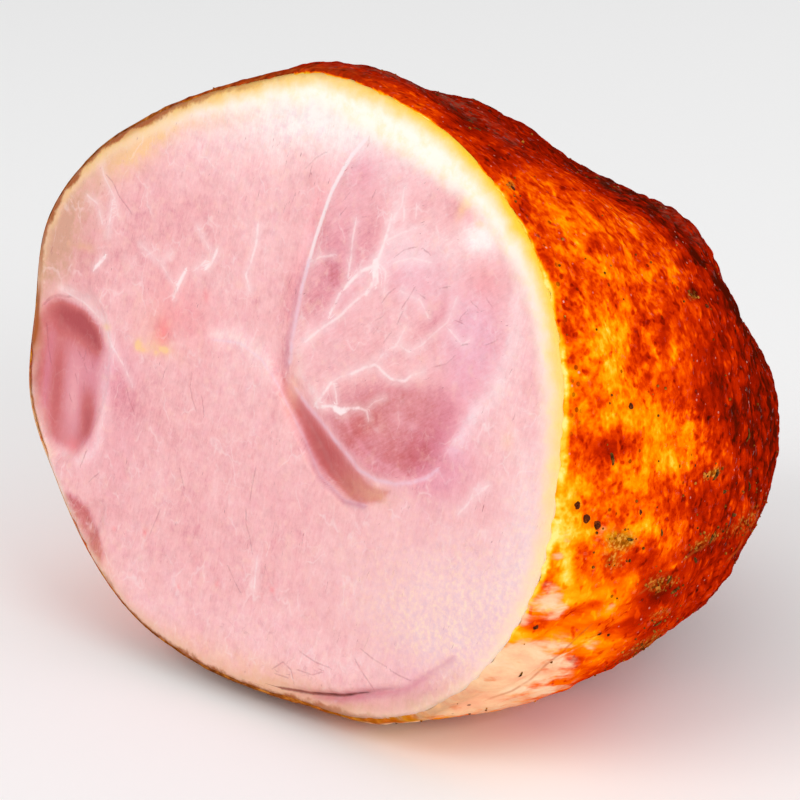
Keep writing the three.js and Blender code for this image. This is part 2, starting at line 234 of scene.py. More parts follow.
def side_relief(angle, share):
    """Lumps, swells and creases of the side, in millimetres outwards."""
    height = 0 * angle * share
    for at, along, rise, wide, long in LUMPS:
        height = height + rise * bell(turn(at, angle) / wide) * bell((share - along) / long)
    shown = smooth(0, SWELL_START, share) * (1 - smooth(*SWELL_END, share))
    for waves, length, rise, phase in SWELLS:
        lengthwise = np.cos(share * LENGTH / length * 2 * math.pi + phase)
        height = height + shown * rise * np.sin(waves * np.radians(angle) + phase) * lengthwise
    for angle1, share1, angle2, share2, depth, half_width in CREASES:
        t = np.clip((share - share1) / (share2 - share1), 0, 1)
        off_round = np.radians(turn(angle1 + turn(angle1, angle2) * t, angle)) * RIM_RADII[0]
        off_along = (share - share1 - (share2 - share1) * t) * LENGTH
        fade = np.sin(math.pi * (0.15 + 0.7 * t))
        height = height - depth * fade * bell(np.hypot(off_round, off_along) / half_width)
    return height


def side_points(angle, share, inset=0):
    """Points of the side, by degrees round it and share of its length, so far under the skin."""
    radii = [ring_value(values, angle) for values in (RIM_RADII, MIDDLE_RADII, FAR_RADII)]
    closing = np.sqrt(np.maximum(0, 1 - share**END_FULLNESS))
    radius = (between(share, *radii) + side_relief(angle, share)) * closing - inset
    u = radius * np.cos(np.radians(angle)) + END_SHIFT * share**2
    v = radius * np.sin(np.radians(angle)) - END_SAG * share**4
    flat = u[..., None] * ACROSS + v[..., None] * UP_FACE
    points = FACE_MIDDLE + flat + (share * LENGTH)[..., None] * AXIS
    return settle(points, inset)


def settle(points, lift=0):
    """Lays points down on the floor, with a soft turn where they meet it."""
    height = points[..., 2] - lift
    soft = (height + REST_SOFTNESS) ** 2 / (4 * REST_SOFTNESS)
    settled = np.where(height < -REST_SOFTNESS, 0, np.where(height < REST_SOFTNESS, soft, height)) + lift
    return np.concatenate([points[..., :2], settled[..., None]], axis=-1)


def nearest(path, u, v):
    """How far off a path, positive on its left, and how far along it, 0 to 1."""
    best = np.full(u.shape, np.inf)
    along = np.zeros(u.shape)
    for i, ((u1, v1), (u2, v2)) in enumerate(zip(path, path[1:])):
        du, dv = u2 - u1, v2 - v1
        t = np.clip(((u - u1) * du + (v - v1) * dv) / (du * du + dv * dv), 0, 1)
        off = np.hypot(u - u1 - du * t, v - v1 - dv * t)
        off = np.where(du * (v - v1) - dv * (u - u1) > 0, off, -off)
        closer = np.abs(off) < np.abs(best)
        best = np.where(closer, off, best)
        along = np.where(closer, (i + t) / (len(path) - 1), along)
    return best, along


def rim_inset(u, v):
    """Millimetres inwards from the rim of the cut face."""
    angle = np.degrees(np.arctan2(v, u))
    return ring_value(RIM_RADII, angle) + side_relief(angle, 0 * u) - np.hypot(u, v)


def rounding(inset):
    """How far the rounded edge has fallen back from the face, at an inset from the side."""
    out = np.clip(1 - inset / EDGE_ROUNDING, 0, 1)
    return EDGE_ROUNDING * (1 - np.sqrt(1 - out * out))


def lumpy(points, size, seed):
    """Smooth noise from -1 to 1 in lumps about so many millimetres across."""
    moved = points / size + seed * np.array([17.3, 5.1, 9.7])
    return np.array([noise.noise(place) for place in moved.reshape(-1, 3).tolist()]).reshape(moved.shape[:-1])


def face_relief(u, v):
    """Height of the cut face over its flat plane."""
    wall, along_wall = nearest(HOLLOW_WALL, u, v)
    in_hollow = smooth(-WALL_WIDTH, WALL_WIDTH, wall) * (1 - smooth(0, HOLLOW_REACH, wall))
    ledge, along_ledge = nearest(LEDGE, u, v)
    on_ledge = smooth(-WALL_WIDTH, WALL_WIDTH, ledge) * (1 - smooth(0, LEDGE_REACH, ledge))
    seam, along_seam = nearest(SEAM, u, v)
    slit, along_slit = nearest(SLIT, u, v)
    height = FACE_CROWN + 0 * u
    height -= HOLLOW_DEPTH * in_hollow * np.sin(math.pi * (0.1 + 0.85 * along_wall))
    height += LEDGE_HEIGHT * on_ledge * np.sin(math.pi * along_ledge)
    height -= SEAM_DEPTH * bell(seam / SEAM_HALF_WIDTH) * np.sin(math.pi * along_seam)
    for at_u, at_v, across, tall, lean, depth, edge in LOBES:
        c, s = math.cos(math.radians(lean)), math.sin(math.radians(lean))
        du, dv = u - at_u, v - at_v
        far = np.hypot((du * c - dv * s) / across, (du * s + dv * c) / tall)
        soft = edge / across / 2
        height -= depth * (1 - smooth(1 - soft, 1 + soft, far))
    open_part = np.sin(math.pi * (0.06 + 0.88 * along_slit))
    open_part *= 1 - SLIT_CLOSING * smooth(*SLIT_CLOSES, along_slit)
    height -= SLIT_DEPTH * open_part * np.clip(1 - np.abs(slit) / SLIT_HALF_WIDTH, 0, 1)
    inset = rim_inset(u, v)
    for size, rise, seed in GRAIN:
        height += rise * lumpy(np.stack([u, v, 0 * u], -1), size, seed) * smooth(0, 2, inset)
    out = np.hypot(u, v) / (np.hypot(u, v) + inset)
    return height * (1 - smooth(FACE_EDGE, 1, out)) - rounding(inset)


def face_points(u, v):
    flat = FACE_MIDDLE + u[..., None] * ACROSS + v[..., None] * UP_FACE
    return flat + face_relief(u, v)[..., None] * OUT_OF_FACE


def on_face(px, py):
    """Where a place in the photograph lies on the cut face, in millimetres from its middle."""
    scale = MILLIMETRES_PER_PIXEL / CAMERA_DISTANCE
    ray = right * (px - PHOTO_SIDE / 2) * scale + up * (PHOTO_SIDE / 2 - py) * scale - back
    reach = ((FACE_MIDDLE - camera_place) @ OUT_OF_FACE) / (ray @ OUT_OF_FACE)
    place = camera_place + ray * reach - FACE_MIDDLE
    return float(place @ ACROSS), float(place @ UP_FACE)


def seen_on_face(points):
    """Where the camera sees each point against the flat plane of the cut face."""
    ray = points - camera_place
    reach = ((FACE_MIDDLE - camera_place) @ OUT_OF_FACE) / (ray @ OUT_OF_FACE)
    place = camera_place + ray * reach[..., None] - FACE_MIDDLE
    return place @ ACROSS, place @ UP_FACE


def disc_cells(cells):
    """A square grid, finer in its middle, bent into a disc: places across and up it, faces and rim."""
    even = np.linspace(-1, 1, cells + 1)
    steps = (1 - MIDDLE_CROWDING) * even + MIDDLE_CROWDING * even**3
    a, b = np.meshgrid(steps, steps, indexing="ij")
    wide = np.abs(a) > np.abs(b)
    radius = np.where(wide, a, b)
    safe = np.where(radius == 0, 1, radius)
    angle = np.where(wide, math.pi / 4 * b / safe, math.pi / 2 - math.pi / 4 * a / safe)
    number = np.arange((cells + 1) ** 2).reshape(cells + 1, cells + 1)
    quads = np.stack([number[:-1, :-1], number[1:, :-1], number[1:, 1:], number[:-1, 1:]], -1)
    rim = np.concatenate([number[-1, :-1], number[::-1, -1][:-1], number[0, ::-1][:-1], number[:-1, 0]])
    return (radius * np.cos(angle)).ravel(), (radius * np.sin(angle)).ravel(), quads.reshape(-1, 4), rim


def new_piece(name, points, faces, material):
    """An object of its own from points in millimetres, with smooth shading and its material."""
    mesh = bpy.data.meshes.new(name)
    mesh.from_pydata((points * MM).tolist(), [], faces)
    mesh.polygons.foreach_set("use_smooth", [True] * len(mesh.polygons))
    mesh.materials.append(material)
    piece = bpy.data.objects.new(name, mesh)
    bpy.context.scene.collection.objects.link(piece)
    return piece


def mark(piece, name, values):
    """Stores a number for each point of a piece, for its material to read."""
    layer = piece.data.attributes.new(name, "FLOAT", "POINT")
    layer.data.foreach_set("value", np.asarray(values, np.float32))


disc_u, disc_v, face_quads, rim_order = disc_cells(FACE_CELLS)
disc_angle = np.degrees(np.arctan2(disc_v, disc_u))
rim_radius = ring_value(RIM_RADII, disc_angle) + side_relief(disc_angle, 0 * disc_angle) - SKIN
face_u = disc_u * rim_radius
face_v = disc_v * rim_radius
meat_points = face_points(face_u, face_v)
rim_angle = disc_angle[rim_order]
meat_quads = face_quads.tolist()
ring = rim_order
for share, inset in zip(MEAT_SIDE_SHARES, MEAT_SIDE_INSETS):
    added = side_points(rim_angle, share + 0 * rim_angle, inset)
    following = np.arange(len(added)) + len(meat_points)
    meat_points = np.concatenate([meat_points, added])
    meat_quads += np.stack([ring, following, np.roll(following, -1), np.roll(ring, -1)], -1).tolist()
    ring = following
meat_points = np.concatenate([meat_points, meat_points[ring].mean(0)[None]])
tip = len(meat_points) - 1
meat_faces = meat_quads + [(tip, int(b), int(a)) for a, b in zip(ring, np.roll(ring, -1))]

# Lines, outlines and patches on the face, by their places in the photograph
SEAM_LINE = [
    (366, 139), (352, 155), (339, 177), (331, 193), (323, 216), (316, 237), (309, 261), (301, 291),
    (296, 318), (292, 339), (290, 362),
]
SEAM_LINE_HALF = 0.45
WALL_LINE = [
    (215, 340), (240, 343), (262, 360), (278, 385), (290, 410), (305, 440), (320, 475), (345, 500),
    (364, 505),
]
LEDGE_LINE = [
    (297, 390), (308, 406), (322, 422), (335, 440), (348, 455), (359, 470), (377, 480), (395, 484),
    (410, 483), (427, 478), (437, 470),
]
CENTRE_MUSCLE = [
    (378, 141), (350, 155), (330, 190), (318, 225), (305, 265), (298, 300), (292, 340), (291, 362),
    (318, 405), (340, 440), (368, 473), (400, 485), (430, 479), (450, 460), (472, 424), (490, 395),
    (505, 365), (514, 330), (514, 290), (500, 255), (470, 205), (440, 165), (410, 145),
]
MAUVE_STRIP = [
    (356, 160), (372, 165), (392, 205), (386, 240), (374, 262), (348, 283), (322, 315), (298, 345),
    (300, 310), (312, 262), (325, 215), (340, 180),
]
CRESCENT = [
    (282, 374), (297, 391), (308, 407), (322, 423), (335, 441), (348, 457), (359, 471), (369, 484),
    (391, 491), (382, 502), (359, 505), (348, 497), (331, 479), (318, 464), (307, 442), (297, 418),
    (283, 391),
]
CRESCENT_DEEPER = [((322, 446), 5, 8, 20, 0.02), ((350, 488), 6, 4, 30, 0.02), ((290, 384), 3, 5, 0, -0.16)]
BOWL = [
    (314, 408), (336, 392), (372, 386), (410, 380), (446, 388), (460, 410), (452, 442), (434, 470),
    (408, 484), (370, 474), (338, 446),
]
LOBE_OUTLINE = [
    (22, 370), (34, 318), (48, 299), (64, 297), (84, 310), (98, 328), (103, 346), (100, 366), (98, 390),
    (96, 416), (90, 436), (78, 452), (62, 447), (44, 435), (30, 405),
]
SMALL_LOBE_OUTLINE = [
    (64, 492), (78, 498), (89, 510), (98, 530), (104, 552), (101, 566), (88, 560), (74, 540), (62, 514),
]
FLAP = [
    (285, 696), (340, 697), (385, 693), (425, 680), (460, 660), (490, 672), (440, 712), (380, 726),
    (300, 712),
]
# Each outline, and over how many millimetres its edge fades
OUTLINED = [
    (CENTRE_MUSCLE, 3), (MAUVE_STRIP, 5), (CRESCENT, 2.4), (BOWL, 11), (LOBE_OUTLINE, 5),
    (SMALL_LOBE_OUTLINE, 3), (FLAP, 3),
]
# How deep the pink is, from 0 to 1, and how much each part adds
MUSCLE_TONE = 0.455
LOWER_TONE = 0.04
MAUVE_TONE = 0.06
# The bowl and the crescent in the hollow are deeper pink, partly their own colour and partly painted shade of
# the hollow
BOWL_SHADE_TONE = 0.27
CRESCENT_SHADE_TONE = 0.34
LOBE_TONE = 0.27
SMALL_LOBE_TONE = 0.33
# The flap under the slit is a little deeper pink, partly its own colour and partly painted shade under the
# slit
FLAP_SHADE_TONE = 0.12
# Deeper pink beside the seam is painted shade, where one muscle stands over the other
SEAM_SHADE_TONE = 0.1
# Each vein: its course, and its half width in millimetres
VEINS = [
    ([(391, 219), (387, 234), (381, 252), (375, 268)], 0.5),
    ([(376, 262), (375, 272), (376, 281)], 1.1),
    ([(375, 266), (362, 270), (352, 280), (345, 288)], 0.55),
    ([(340, 294), (335, 304), (330, 314)], 0.5),
    ([(376, 280), (370, 288), (366, 294)], 0.6),
    ([(364, 294), (352, 304), (340, 316), (322, 328), (306, 341)], 0.4),
    ([(404, 210), (404, 217)], 0.4),
    ([(417, 207), (416, 215)], 0.3),
    ([(401, 233), (413, 229), (422, 226)], 0.3),
    ([(356, 221), (353, 237), (351, 257), (348, 277)], 0.35),
    ([(312, 261), (320, 257), (334, 255)], 0.3),
    ([(315, 405), (322, 396), (331, 383)], 0.45),
    ([(334, 384), (336, 394), (337, 403)], 0.35),
    ([(317, 407), (330, 406), (341, 409), (359, 408)], 0.45),
    ([(335, 408), (341, 412), (345, 410)], 0.9),
    ([(359, 408), (367, 411), (368, 418)], 0.3),
    ([(367, 409), (374, 402), (384, 398)], 0.2),
    ([(331, 383), (340, 377), (351, 374)], 0.25),
    ([(351, 374), (364, 368), (376, 364), (382, 371), (391, 379), (405, 381), (411, 376), (423, 372)], 0.42),
    ([(376, 364), (382, 355), (391, 348), (400, 346), (409, 352), (422, 345), (432, 335)], 0.3),
    ([(394, 217), (402, 205), (404, 190)], 0.3),
    ([(384, 242), (400, 234)], 0.3),
    ([(402, 292), (420, 300), (428, 316)], 0.3),
    ([(396, 262), (412, 258), (430, 262)], 0.3),
    ([(450, 330), (462, 345), (470, 340)], 0.3),
    ([(258, 225), (256, 245), (250, 265), (246, 275), (250, 290)], 0.4),
    ([(217, 250), (212, 262), (206, 268)], 0.5),
    ([(185, 272), (178, 285), (174, 296)], 0.6),
    ([(205, 262), (195, 270)], 0.4),
    ([(105, 257), (100, 262), (95, 268)], 0.6),
    ([(113, 200), (110, 218), (108, 235)], 0.35),
    ([(257, 560), (254, 590)], 0.35),
    ([(485, 488), (470, 500)], 0.4),
    ([(488, 486), (474, 492), (468, 504), (460, 512)], 0.3),
    ([(100, 152), (104, 176), (114, 196), (118, 214)], 0.25),
    ([(88, 196), (98, 204), (102, 222)], 0.25),
    ([(140, 244), (160, 262), (176, 288)], 0.2),
    ([(160, 262), (172, 254)], 0.2),
    ([(198, 228), (208, 246)], 0.2),
    ([(62, 290), (84, 302), (104, 322), (112, 346), (124, 366), (132, 384)], 0.3),
    ([(378, 262), (386, 272), (384, 292)], 0.3),
    ([(404, 330), (396, 346)], 0.25),
    ([(432, 335), (448, 322), (456, 300)], 0.25),
]
# Each band: its course, its half width in millimetres, and how much paler it is
PALE_BANDS = [
    ([(516, 300), (514, 335), (505, 365), (497, 388), (484, 402), (470, 428), (455, 452)], 3.4, 0.18),
    ([(476, 410), (462, 432), (450, 450)], 1.8, 0.14),
    ([(375, 262), (400, 252), (440, 242), (475, 238), (500, 240)], 5, 0.12),
    ([(395, 205), (387, 240), (374, 268), (345, 285), (322, 320), (298, 345)], 2.6, 0.1),
    ([(62, 288), (88, 300), (108, 325), (112, 350), (106, 380), (104, 410), (98, 445), (78, 462)], 2.4, 0.2),
    ([(215, 334), (240, 338), (262, 354), (272, 372)], 3.5, 0.16),
    ([(300, 372), (312, 392), (326, 410)], 1.8, 0.16),
    ([(345, 416), (351, 434), (363, 448), (374, 459), (395, 470), (409, 480)], 0.9, 0.07),
    ([(297, 392), (322, 424), (348, 457), (377, 482), (410, 485), (437, 472)], 1.6, 0.12),
    ([(216, 470), (212, 520), (206, 570)], 3, 0.06),
    ([(160, 440), (158, 490)], 2.4, 0.04),
    ([(172, 346), (200, 338), (225, 333), (245, 345)], 1.4, 0.1),
]
# Each patch: its place in the photograph, its half width and half height in millimetres on the
# face, its lean in degrees, and how much it adds
DEEPER = [
    ((378, 232), 4.5, 9, -12, 0.12),
    ((364, 246), 4, 10, -20, 0.1),
    ((462, 686), 9, 4, -16, 0.14),
    ((335, 277), 4, 9, -24, 0.17),
    ((316, 304), 4.5, 6, -30, 0.15),
    ((416, 211), 3.5, 5, 0, 0.13),
    ((436, 320), 5, 7, 20, 0.2),
    ((402, 462), 9, 4, -10, 0.05),
    ((354, 436), 4, 10, 40, 0.09),
    ((478, 286), 9, 6, -30, 0.08),
    ((126, 398), 5, 6, -10, 0.1),
    # The deeper pink along the top of the left lobe is partly painted shade under the edge of its hollow
    ((65, 314), 8, 5, 0, 0.2),
    ((86, 326), 7, 6, 30, 0.22),
    ((98, 345), 4, 6, 0, 0.16),
    ((35, 378), 3, 12, 0, 0.2),
    ((57, 385), 2.6, 16, -4, 0.12),
    ((88, 420), 3, 9, -12, 0.14),
    ((78, 445), 2.4, 4, 0, 0.04),
    ((160, 325), 5, 4, 0, 0.14),
    ((200, 330), 6, 4, 0, 0.08),
    ((205, 400), 34, 30, 0, 0.03),
    ((130, 400), 12, 16, 0, 0.06),
    ((462, 205), 5, 8, 30, 0.12),
    ((500, 275), 5, 10, 20, 0.05),
    ((150, 232), 34, 22, 0, 0.11),
    ((220, 560), 30, 20, 0, 0.06),
    ((360, 352), 12, 8, 0, 0.05),
    ((85, 265), 9, 8, 0, 0.12),
    ((84, 222), 8, 16, 14, 0.1),
    ((245, 330), 8, 5, 0, 0.06),
    ((288, 300), 3.4, 24, -6, 0.1),
    ((318, 200), 3, 15, -16, 0.08),
]
PALER = [
    ((260, 96), 60, 13, 0, 0.34),
    ((350, 112), 22, 12, -10, 0.26),
    ((220, 135), 40, 12, 0, 0.1),
    ((300, 655), 50, 12, 0, 0.08),
    ((90, 200), 12, 22, 20, 0.06),
    ((530, 540), 10, 34, -20, 0.16),
    ((490, 610), 22, 16, -20, 0.14),
    ((290, 340), 6, 8, 0, 0.06),
    ((73, 388), 3, 13, -4, 0.1),
    ((448, 446), 4, 7, 20, 0.07),
    ((47, 372), 1.4, 12, 0, 0.06),
    ((480, 238), 5, 4, 0, 0.42),
    ((405, 172), 12, 8, 0, 0.06),
    ((472, 340), 10, 16, 0, 0.16),
    ((505, 560), 10, 12, 0, 0.04),
    ((424, 276), 18, 10, 20, 0.15),
    ((340, 345), 10, 4, 40, 0.06),
    ((398, 420), 2.6, 2, 0, 0.1),
    ((412, 426), 1.6, 1.2, 0, 0.14),
    ((92, 369), 6, 7, 0, 0.16),
    ((74, 405), 3, 9, -8, 0.08),
    ((62, 452), 6, 1.6, -16, 0.2),
    ((160, 600), 20, 10, 0, 0.06),
    ((240, 380), 12, 12, 0, 0.06),
]
LILAC = [
    ((450, 420), 9, 26, 10, 0.7),
    ((470, 328), 14, 12, 0, 0.5),
    ((405, 168), 14, 9, 0, 0.2),
    ((92, 372), 8, 9, 0, 0.6),
    ((118, 372), 8, 10, 0, 0.6),
    ((40, 332), 4, 7, 0, 0.8),
    ((478, 350), 9, 14, 0, 0.5),
    ((420, 262), 12, 8, 20, 0.5),
    ((400, 282), 10, 6, 20, 0.4),
    ((362, 170), 6, 5, 0, 0.5),
    ((85, 440), 8, 10, 0, 0.5),
    ((125, 440), 8, 18, 0, 0.4),
    ((47, 375), 2, 14, 0, 0.7),
    ((430, 690), 20, 5, 20, 0.7),
    ((490, 610), 20, 16, 0, 0.4),
    ((350, 235), 14, 20, 0, 0.5),
    ((330, 290), 10, 18, 0, 0.4),
    ((370, 462), 12, 5, 30, 0.6),
    ((434, 465), 14, 9, 0, 1),
    ((36, 360), 4, 18, 0, 0.4),
    ((62, 378), 8, 20, 0, 0.3),
    ((440, 300), 10, 14, 30, 0.2),
]
TAN = [
    ((350, 490), 8, 5, -40, 0.16),
    ((378, 495), 6, 3, 0, 0.4),
    ((292, 392), 3, 8, 0, 0.3),
    ((340, 714), 30, 3.5, 0, 0.7),
    ((160, 348), 10, 2.4, 0, 0.3),
    ((138, 345), 1.2, 1.6, 20, 1.3),
    ((142, 350), 1.4, 0.8, 0, 0.8),
    ((164, 350), 1.8, 0.9, 0, 1.4),
    ((156, 353), 1, 0.8, 0, 0.8),
    ((150, 348), 4, 1.6, 0, 0.4),
    ((107, 327), 1.3, 1, 0, 1.2),
    ((480, 224), 1.4, 1, 0, 0.8),
    ((470, 205), 1.4, 1, 0, 0.9),
    ((152, 325), 8, 6, 0, 0.16),
    ((67, 243), 1.4, 1.2, 0, 1),
    ((84, 247), 4, 1.4, 0, 0.5),
    ((393, 112), 2, 2, 0, 0.5),
    ((466, 200), 1.5, 5, 20, 0.9),
    ((508, 440), 2, 3, 0, 0.4),
    ((60, 220), 7, 22, 20, 0.6),
    ((124, 146), 15, 7, -34, 1.3),
    ((146, 130), 12, 6, -26, 1),
    ((190, 118), 24, 4, -12, 0.5),
    ((240, 662), 46, 4, 0, 0.35),
    ((110, 590), 5, 22, -40, 0.3),
    ((462, 688), 10, 4, -16, 0.4),
]
FLUSHED = [
    ((162, 334), 3, 4, 0, 0.9),
    ((184, 322), 14, 9, 0, 0.3),
    ((170, 300), 8, 8, 0, 0.2),
    ((73, 446), 3, 2.4, 0, 0.5),
    ((145, 532), 0.9, 0.9, 0, 0.9),
    ((114, 529), 0.9, 0.9, 0, 0.5),
    ((178, 587), 0.9, 0.9, 0, 0.5),
    ((217, 584), 0.9, 0.9, 0, 0.5),
    ((272, 590), 0.9, 0.9, 0, 0.6),
    ((206, 296), 1, 2, -20, 0.5),
    ((484, 280), 6, 5, 0, 0.25),
]
GREYED = [
    ((82, 190), 10, 16, 24, 0.5),
    ((60, 228), 6, 14, 14, 1),
    ((88, 240), 8, 10, 0, 0.25),
    ((60, 262), 7, 8, 0, 0.6),
    ((430, 707), 16, 4, -12, 0.9),
    ((350, 716), 26, 4.4, 2, 1),
    ((300, 706), 14, 2.4, 10, 0.3),
    ((44, 270), 4, 16, 0, 0.5),
    ((110, 152), 10, 5, -40, 0.3),
]
RUSTY = [((41, 300), 3, 10, 8, 1.4), ((34, 335), 3, 8, 10, 0.9), ((126, 134), 12, 1.4, -30, 0.5)]
CREAMY = [
    ((480, 605), 26, 18, 0, 1),
    ((430, 645), 24, 12, 0, 0.7),
    ((380, 580), 20, 16, 0, 0.35),
    ((530, 520), 8, 20, 0, 0.6),
]
WRINKLED = [((330, 665), 44, 12, 0, 0.5), ((230, 630), 20, 12, 0, 0.3), ((470, 560), 14, 14, 0, 0.4)]
# Each thin dark crease: its course, and its half width in millimetres
FINE_CREASES = [
    ([(356, 662), (364, 675), (373, 688)], 0.12),
    # the dark line along the top of the left lobe is painted shadow
    ([(44, 304), (50, 298), (58, 295), (70, 297)], 0.35),
    ([(47, 325), (48, 345), (51, 362)], 0.2),
    ([(86, 452), (81, 465)], 0.15),
    ([(90, 480), (98, 474)], 0.1),
    ([(79, 352), (81, 356)], 0.1),
    ([(88, 346), (90, 351)], 0.1),
    ([(85, 366), (87, 371)], 0.1),
    ([(76, 376), (77, 381)], 0.1),
    ([(92, 362), (93, 366)], 0.1),
    ([(70, 396), (71, 400)], 0.1),
    ([(84, 384), (84, 389)], 0.1),
    ([(362, 650), (373, 659), (385, 666)], 0.14),
    ([(391, 671), (400, 676), (409, 680)], 0.1),
    ([(274, 668), (283, 662), (291, 670), (294, 684)], 0.12),
    ([(276, 674), (288, 678)], 0.1),
    ([(298, 670), (312, 675), (322, 672)], 0.1),
    ([(300, 652), (315, 662), (330, 668)], 0.1),
    ([(192, 374), (190, 386), (192, 398), (196, 410)], 0.1),
    ([(202, 398), (204, 415)], 0.1),
    ([(107, 176), (113, 182), (119, 196), (131, 212)], 0.08),
    ([(246, 510), (246, 524), (250, 538), (252, 552)], 0.1),
    ([(256, 468), (252, 486), (250, 500)], 0.1),
    ([(228, 566), (234, 580), (240, 592)], 0.1),
    ([(180, 470), (184, 488)], 0.1),
    ([(160, 510), (150, 534)], 0.1),
    ([(434, 367), (446, 364), (454, 357)], 0.05),
    ([(383, 301), (388, 294), (394, 289)], 0.05),
    ([(402, 307), (408, 299), (414, 289)], 0.07),
    ([(398, 322), (402, 313)], 0.05),
    ([(376, 320), (382, 317)], 0.05),
    ([(374, 333), (378, 328)], 0.04),
    ([(384, 342), (390, 334)], 0.1),
    ([(396, 256), (404, 250), (415, 247)], 0.04),
    ([(424, 250), (429, 253)], 0.12),
    ([(442, 288), (448, 287)], 0.12),
    ([(420, 295), (425, 298)], 0.06),
    ([(457, 321), (462, 323)], 0.12),
    ([(460, 318), (466, 312)], 0.06),
    ([(472, 303), (478, 308)], 0.05),
    ([(487, 300), (491, 305)], 0.05),
    ([(462, 345), (467, 344)], 0.15),
    ([(486, 345), (496, 341)], 0.05),
    ([(344, 200), (350, 192)], 0.06),
    ([(372, 198), (375, 192)], 0.1),
    ([(340, 215), (346, 208)], 0.05),
    ([(127, 390), (130, 402), (134, 412)], 0.08),
    ([(84, 360), (86, 352)], 0.1),
    ([(306, 168), (316, 158), (326, 152)], 0.1),
]
# Evenly round the face from +X: how wide the fat is in millimetres, how pink and how yellow it is,
# how brown the meat is at its edge, and how wide that brown is
FAT_WIDTHS = [
    5.5, 7, 8, 10, 13, 12, 9, 7, 6, 5, 4, 3,
    1.5, 1, 1, 1, 1.5, 2, 1.5, 1.5, 1.5, 1.5, 2.5, 4,
]
RUDDY_FAT = [0.9, 0.3, 0, 0, 0.2, 0.5, 0.6, 0.6, 0.6, 0.8, 0.9, 1]
YELLOW_FAT = [0.6, 1, 1, 0.8, 0.9, 0.8, 0.1, 0, 0, 0.1, 0, 0.05]
EDGE_BROWNS = [
    0, 0, 0, 0, 0, 0.1, 0.2, 0.35, 0.7, 1, 1, 1,
    0.2, 0, 0, 0.2, 0.9, 1, 1, 1, 0.5, 0.1, 0, 0,
]
EDGE_WIDTHS = [
    0, 0, 0, 0, 0, 0, 0, 0.1, 0.4, 0.6, 0.6, 0.7,
    0.6, 0, 0, 0, 0.3, 0.3, 0.1, 0.3, 0.3, 0, 0, 0,
]


def on_face_path(path):
    return [on_face(*place) for place in path]


def on_face_lines(listed):
    return [(on_face_path(path), half_width) for path, half_width in listed]


def nearest_of(paths, u, v):
    """For the nearest of some paths: how far off its edge and off it with a sign, and its half width."""
    sides = np.array([nearest(path, u, v)[0] for path, _ in paths])
    halves = np.array([half_width for _, half_width in paths]).reshape(-1, *[1] * u.ndim) + 0 * sides
    first = np.argmin(np.abs(sides) - halves, axis=0)[None]
    side = np.take_along_axis(sides, first, 0)[0]
    half_width = np.take_along_axis(halves, first, 0)[0]
    return np.abs(side) - half_width, side, half_width


def line_marks(name, paths, u, v):
    """Numbers to store for each point, from which line_off draws the paths as crisp lines."""
    off, side, half_width = nearest_of(paths, u, v)
    return {name + "_off": off, name + "_side": side, name + "_half": half_width}


def patches(listed, u, v, placing=on_face):
    """The sum of soft patches, with the call that turns a place in the photograph into u and v."""
    total = 0 * u
    for place, wide, tall, lean, amount in listed:
        at_u, at_v = placing(*place)
        c, s = math.cos(math.radians(lean)), math.sin(math.radians(lean))
        du, dv = u - at_u, v - at_v
        total += amount * bell(np.hypot((du * c - dv * s) / wide, (du * s + dv * c) / tall))
    return total


def inside_of(outline, u, v, edge):
    """1 inside a closed outline in the photograph, 0 outside it, over an edge so many millimetres soft."""
    corners = on_face_path(outline)
    odd = np.zeros(u.shape, bool)
    for (u1, v1), (u2, v2) in zip(corners, corners[1:] + corners[:1]):
        if v1 != v2:
            odd ^= ((v1 > v) != (v2 > v)) & (u < u1 + (v - v1) * (u2 - u1) / (v2 - v1))
    off = np.abs(nearest(corners + corners[:1], u, v)[0])
    return smooth(-edge / 2, edge / 2, np.where(odd, off, -off))


def make(tree, kind, feeds=None, **settings):
    """A node in a tree, with its settings, and each named input linked or set."""
    node = tree.nodes.new(kind)
    for name, value in settings.items():
        setattr(node, name, value)
    for name, value in (feeds or {}).items():
        if isinstance(value, bpy.types.NodeSocket):
            tree.links.new(value, node.inputs[name])
        else:
            node.inputs[name].default_value = value
    return node


def new_material(name):
    material = bpy.data.materials.new(name)
    material.use_nodes = True
    return material, material.node_tree, material.node_tree.nodes["Principled BSDF"]


def calc(tree, operation, first, second=0.0, third=0.0, clamp=False):
    """A number worked out from others."""
    feeds = {0: first, 1: second, 2: third}
    return make(tree, "ShaderNodeMath", feeds, operation=operation, use_clamp=clamp).outputs[0]


def times(tree, first, second):
    return calc(tree, "MULTIPLY", first, second)


def plus(tree, first, second):
    return calc(tree, "ADD", first, second)


def mixed(tree, share, first, second):
    """A number between two others, nearer the second one the larger the share."""
    return make(tree, "ShaderNodeMix", {0: share, 2: first, 3: second}).outputs[0]


def stored(tree, name):
    return make(tree, "ShaderNodeAttribute", attribute_name=name).outputs["Fac"]


def line_off(tree, name):
    """Millimetres off the edge of the nearest of some lines, from the numbers of line_marks."""
    side = calc(tree, "ABSOLUTE", stored(tree, name + "_side"))
    close = calc(tree, "SUBTRACT", side, stored(tree, name + "_half"))
    return calc(tree, "MAXIMUM", close, calc(tree, "SUBTRACT", stored(tree, name + "_off"), GRID_STEP))


def soft_step(tree, value, low, high, start=0.0, end=1.0):
    feeds = {"Value": value, "From Min": low, "From Max": high, "To Min": start, "To Max": end}
    return make(tree, "ShaderNodeMapRange", feeds, interpolation_type="SMOOTHSTEP").outputs["Result"]


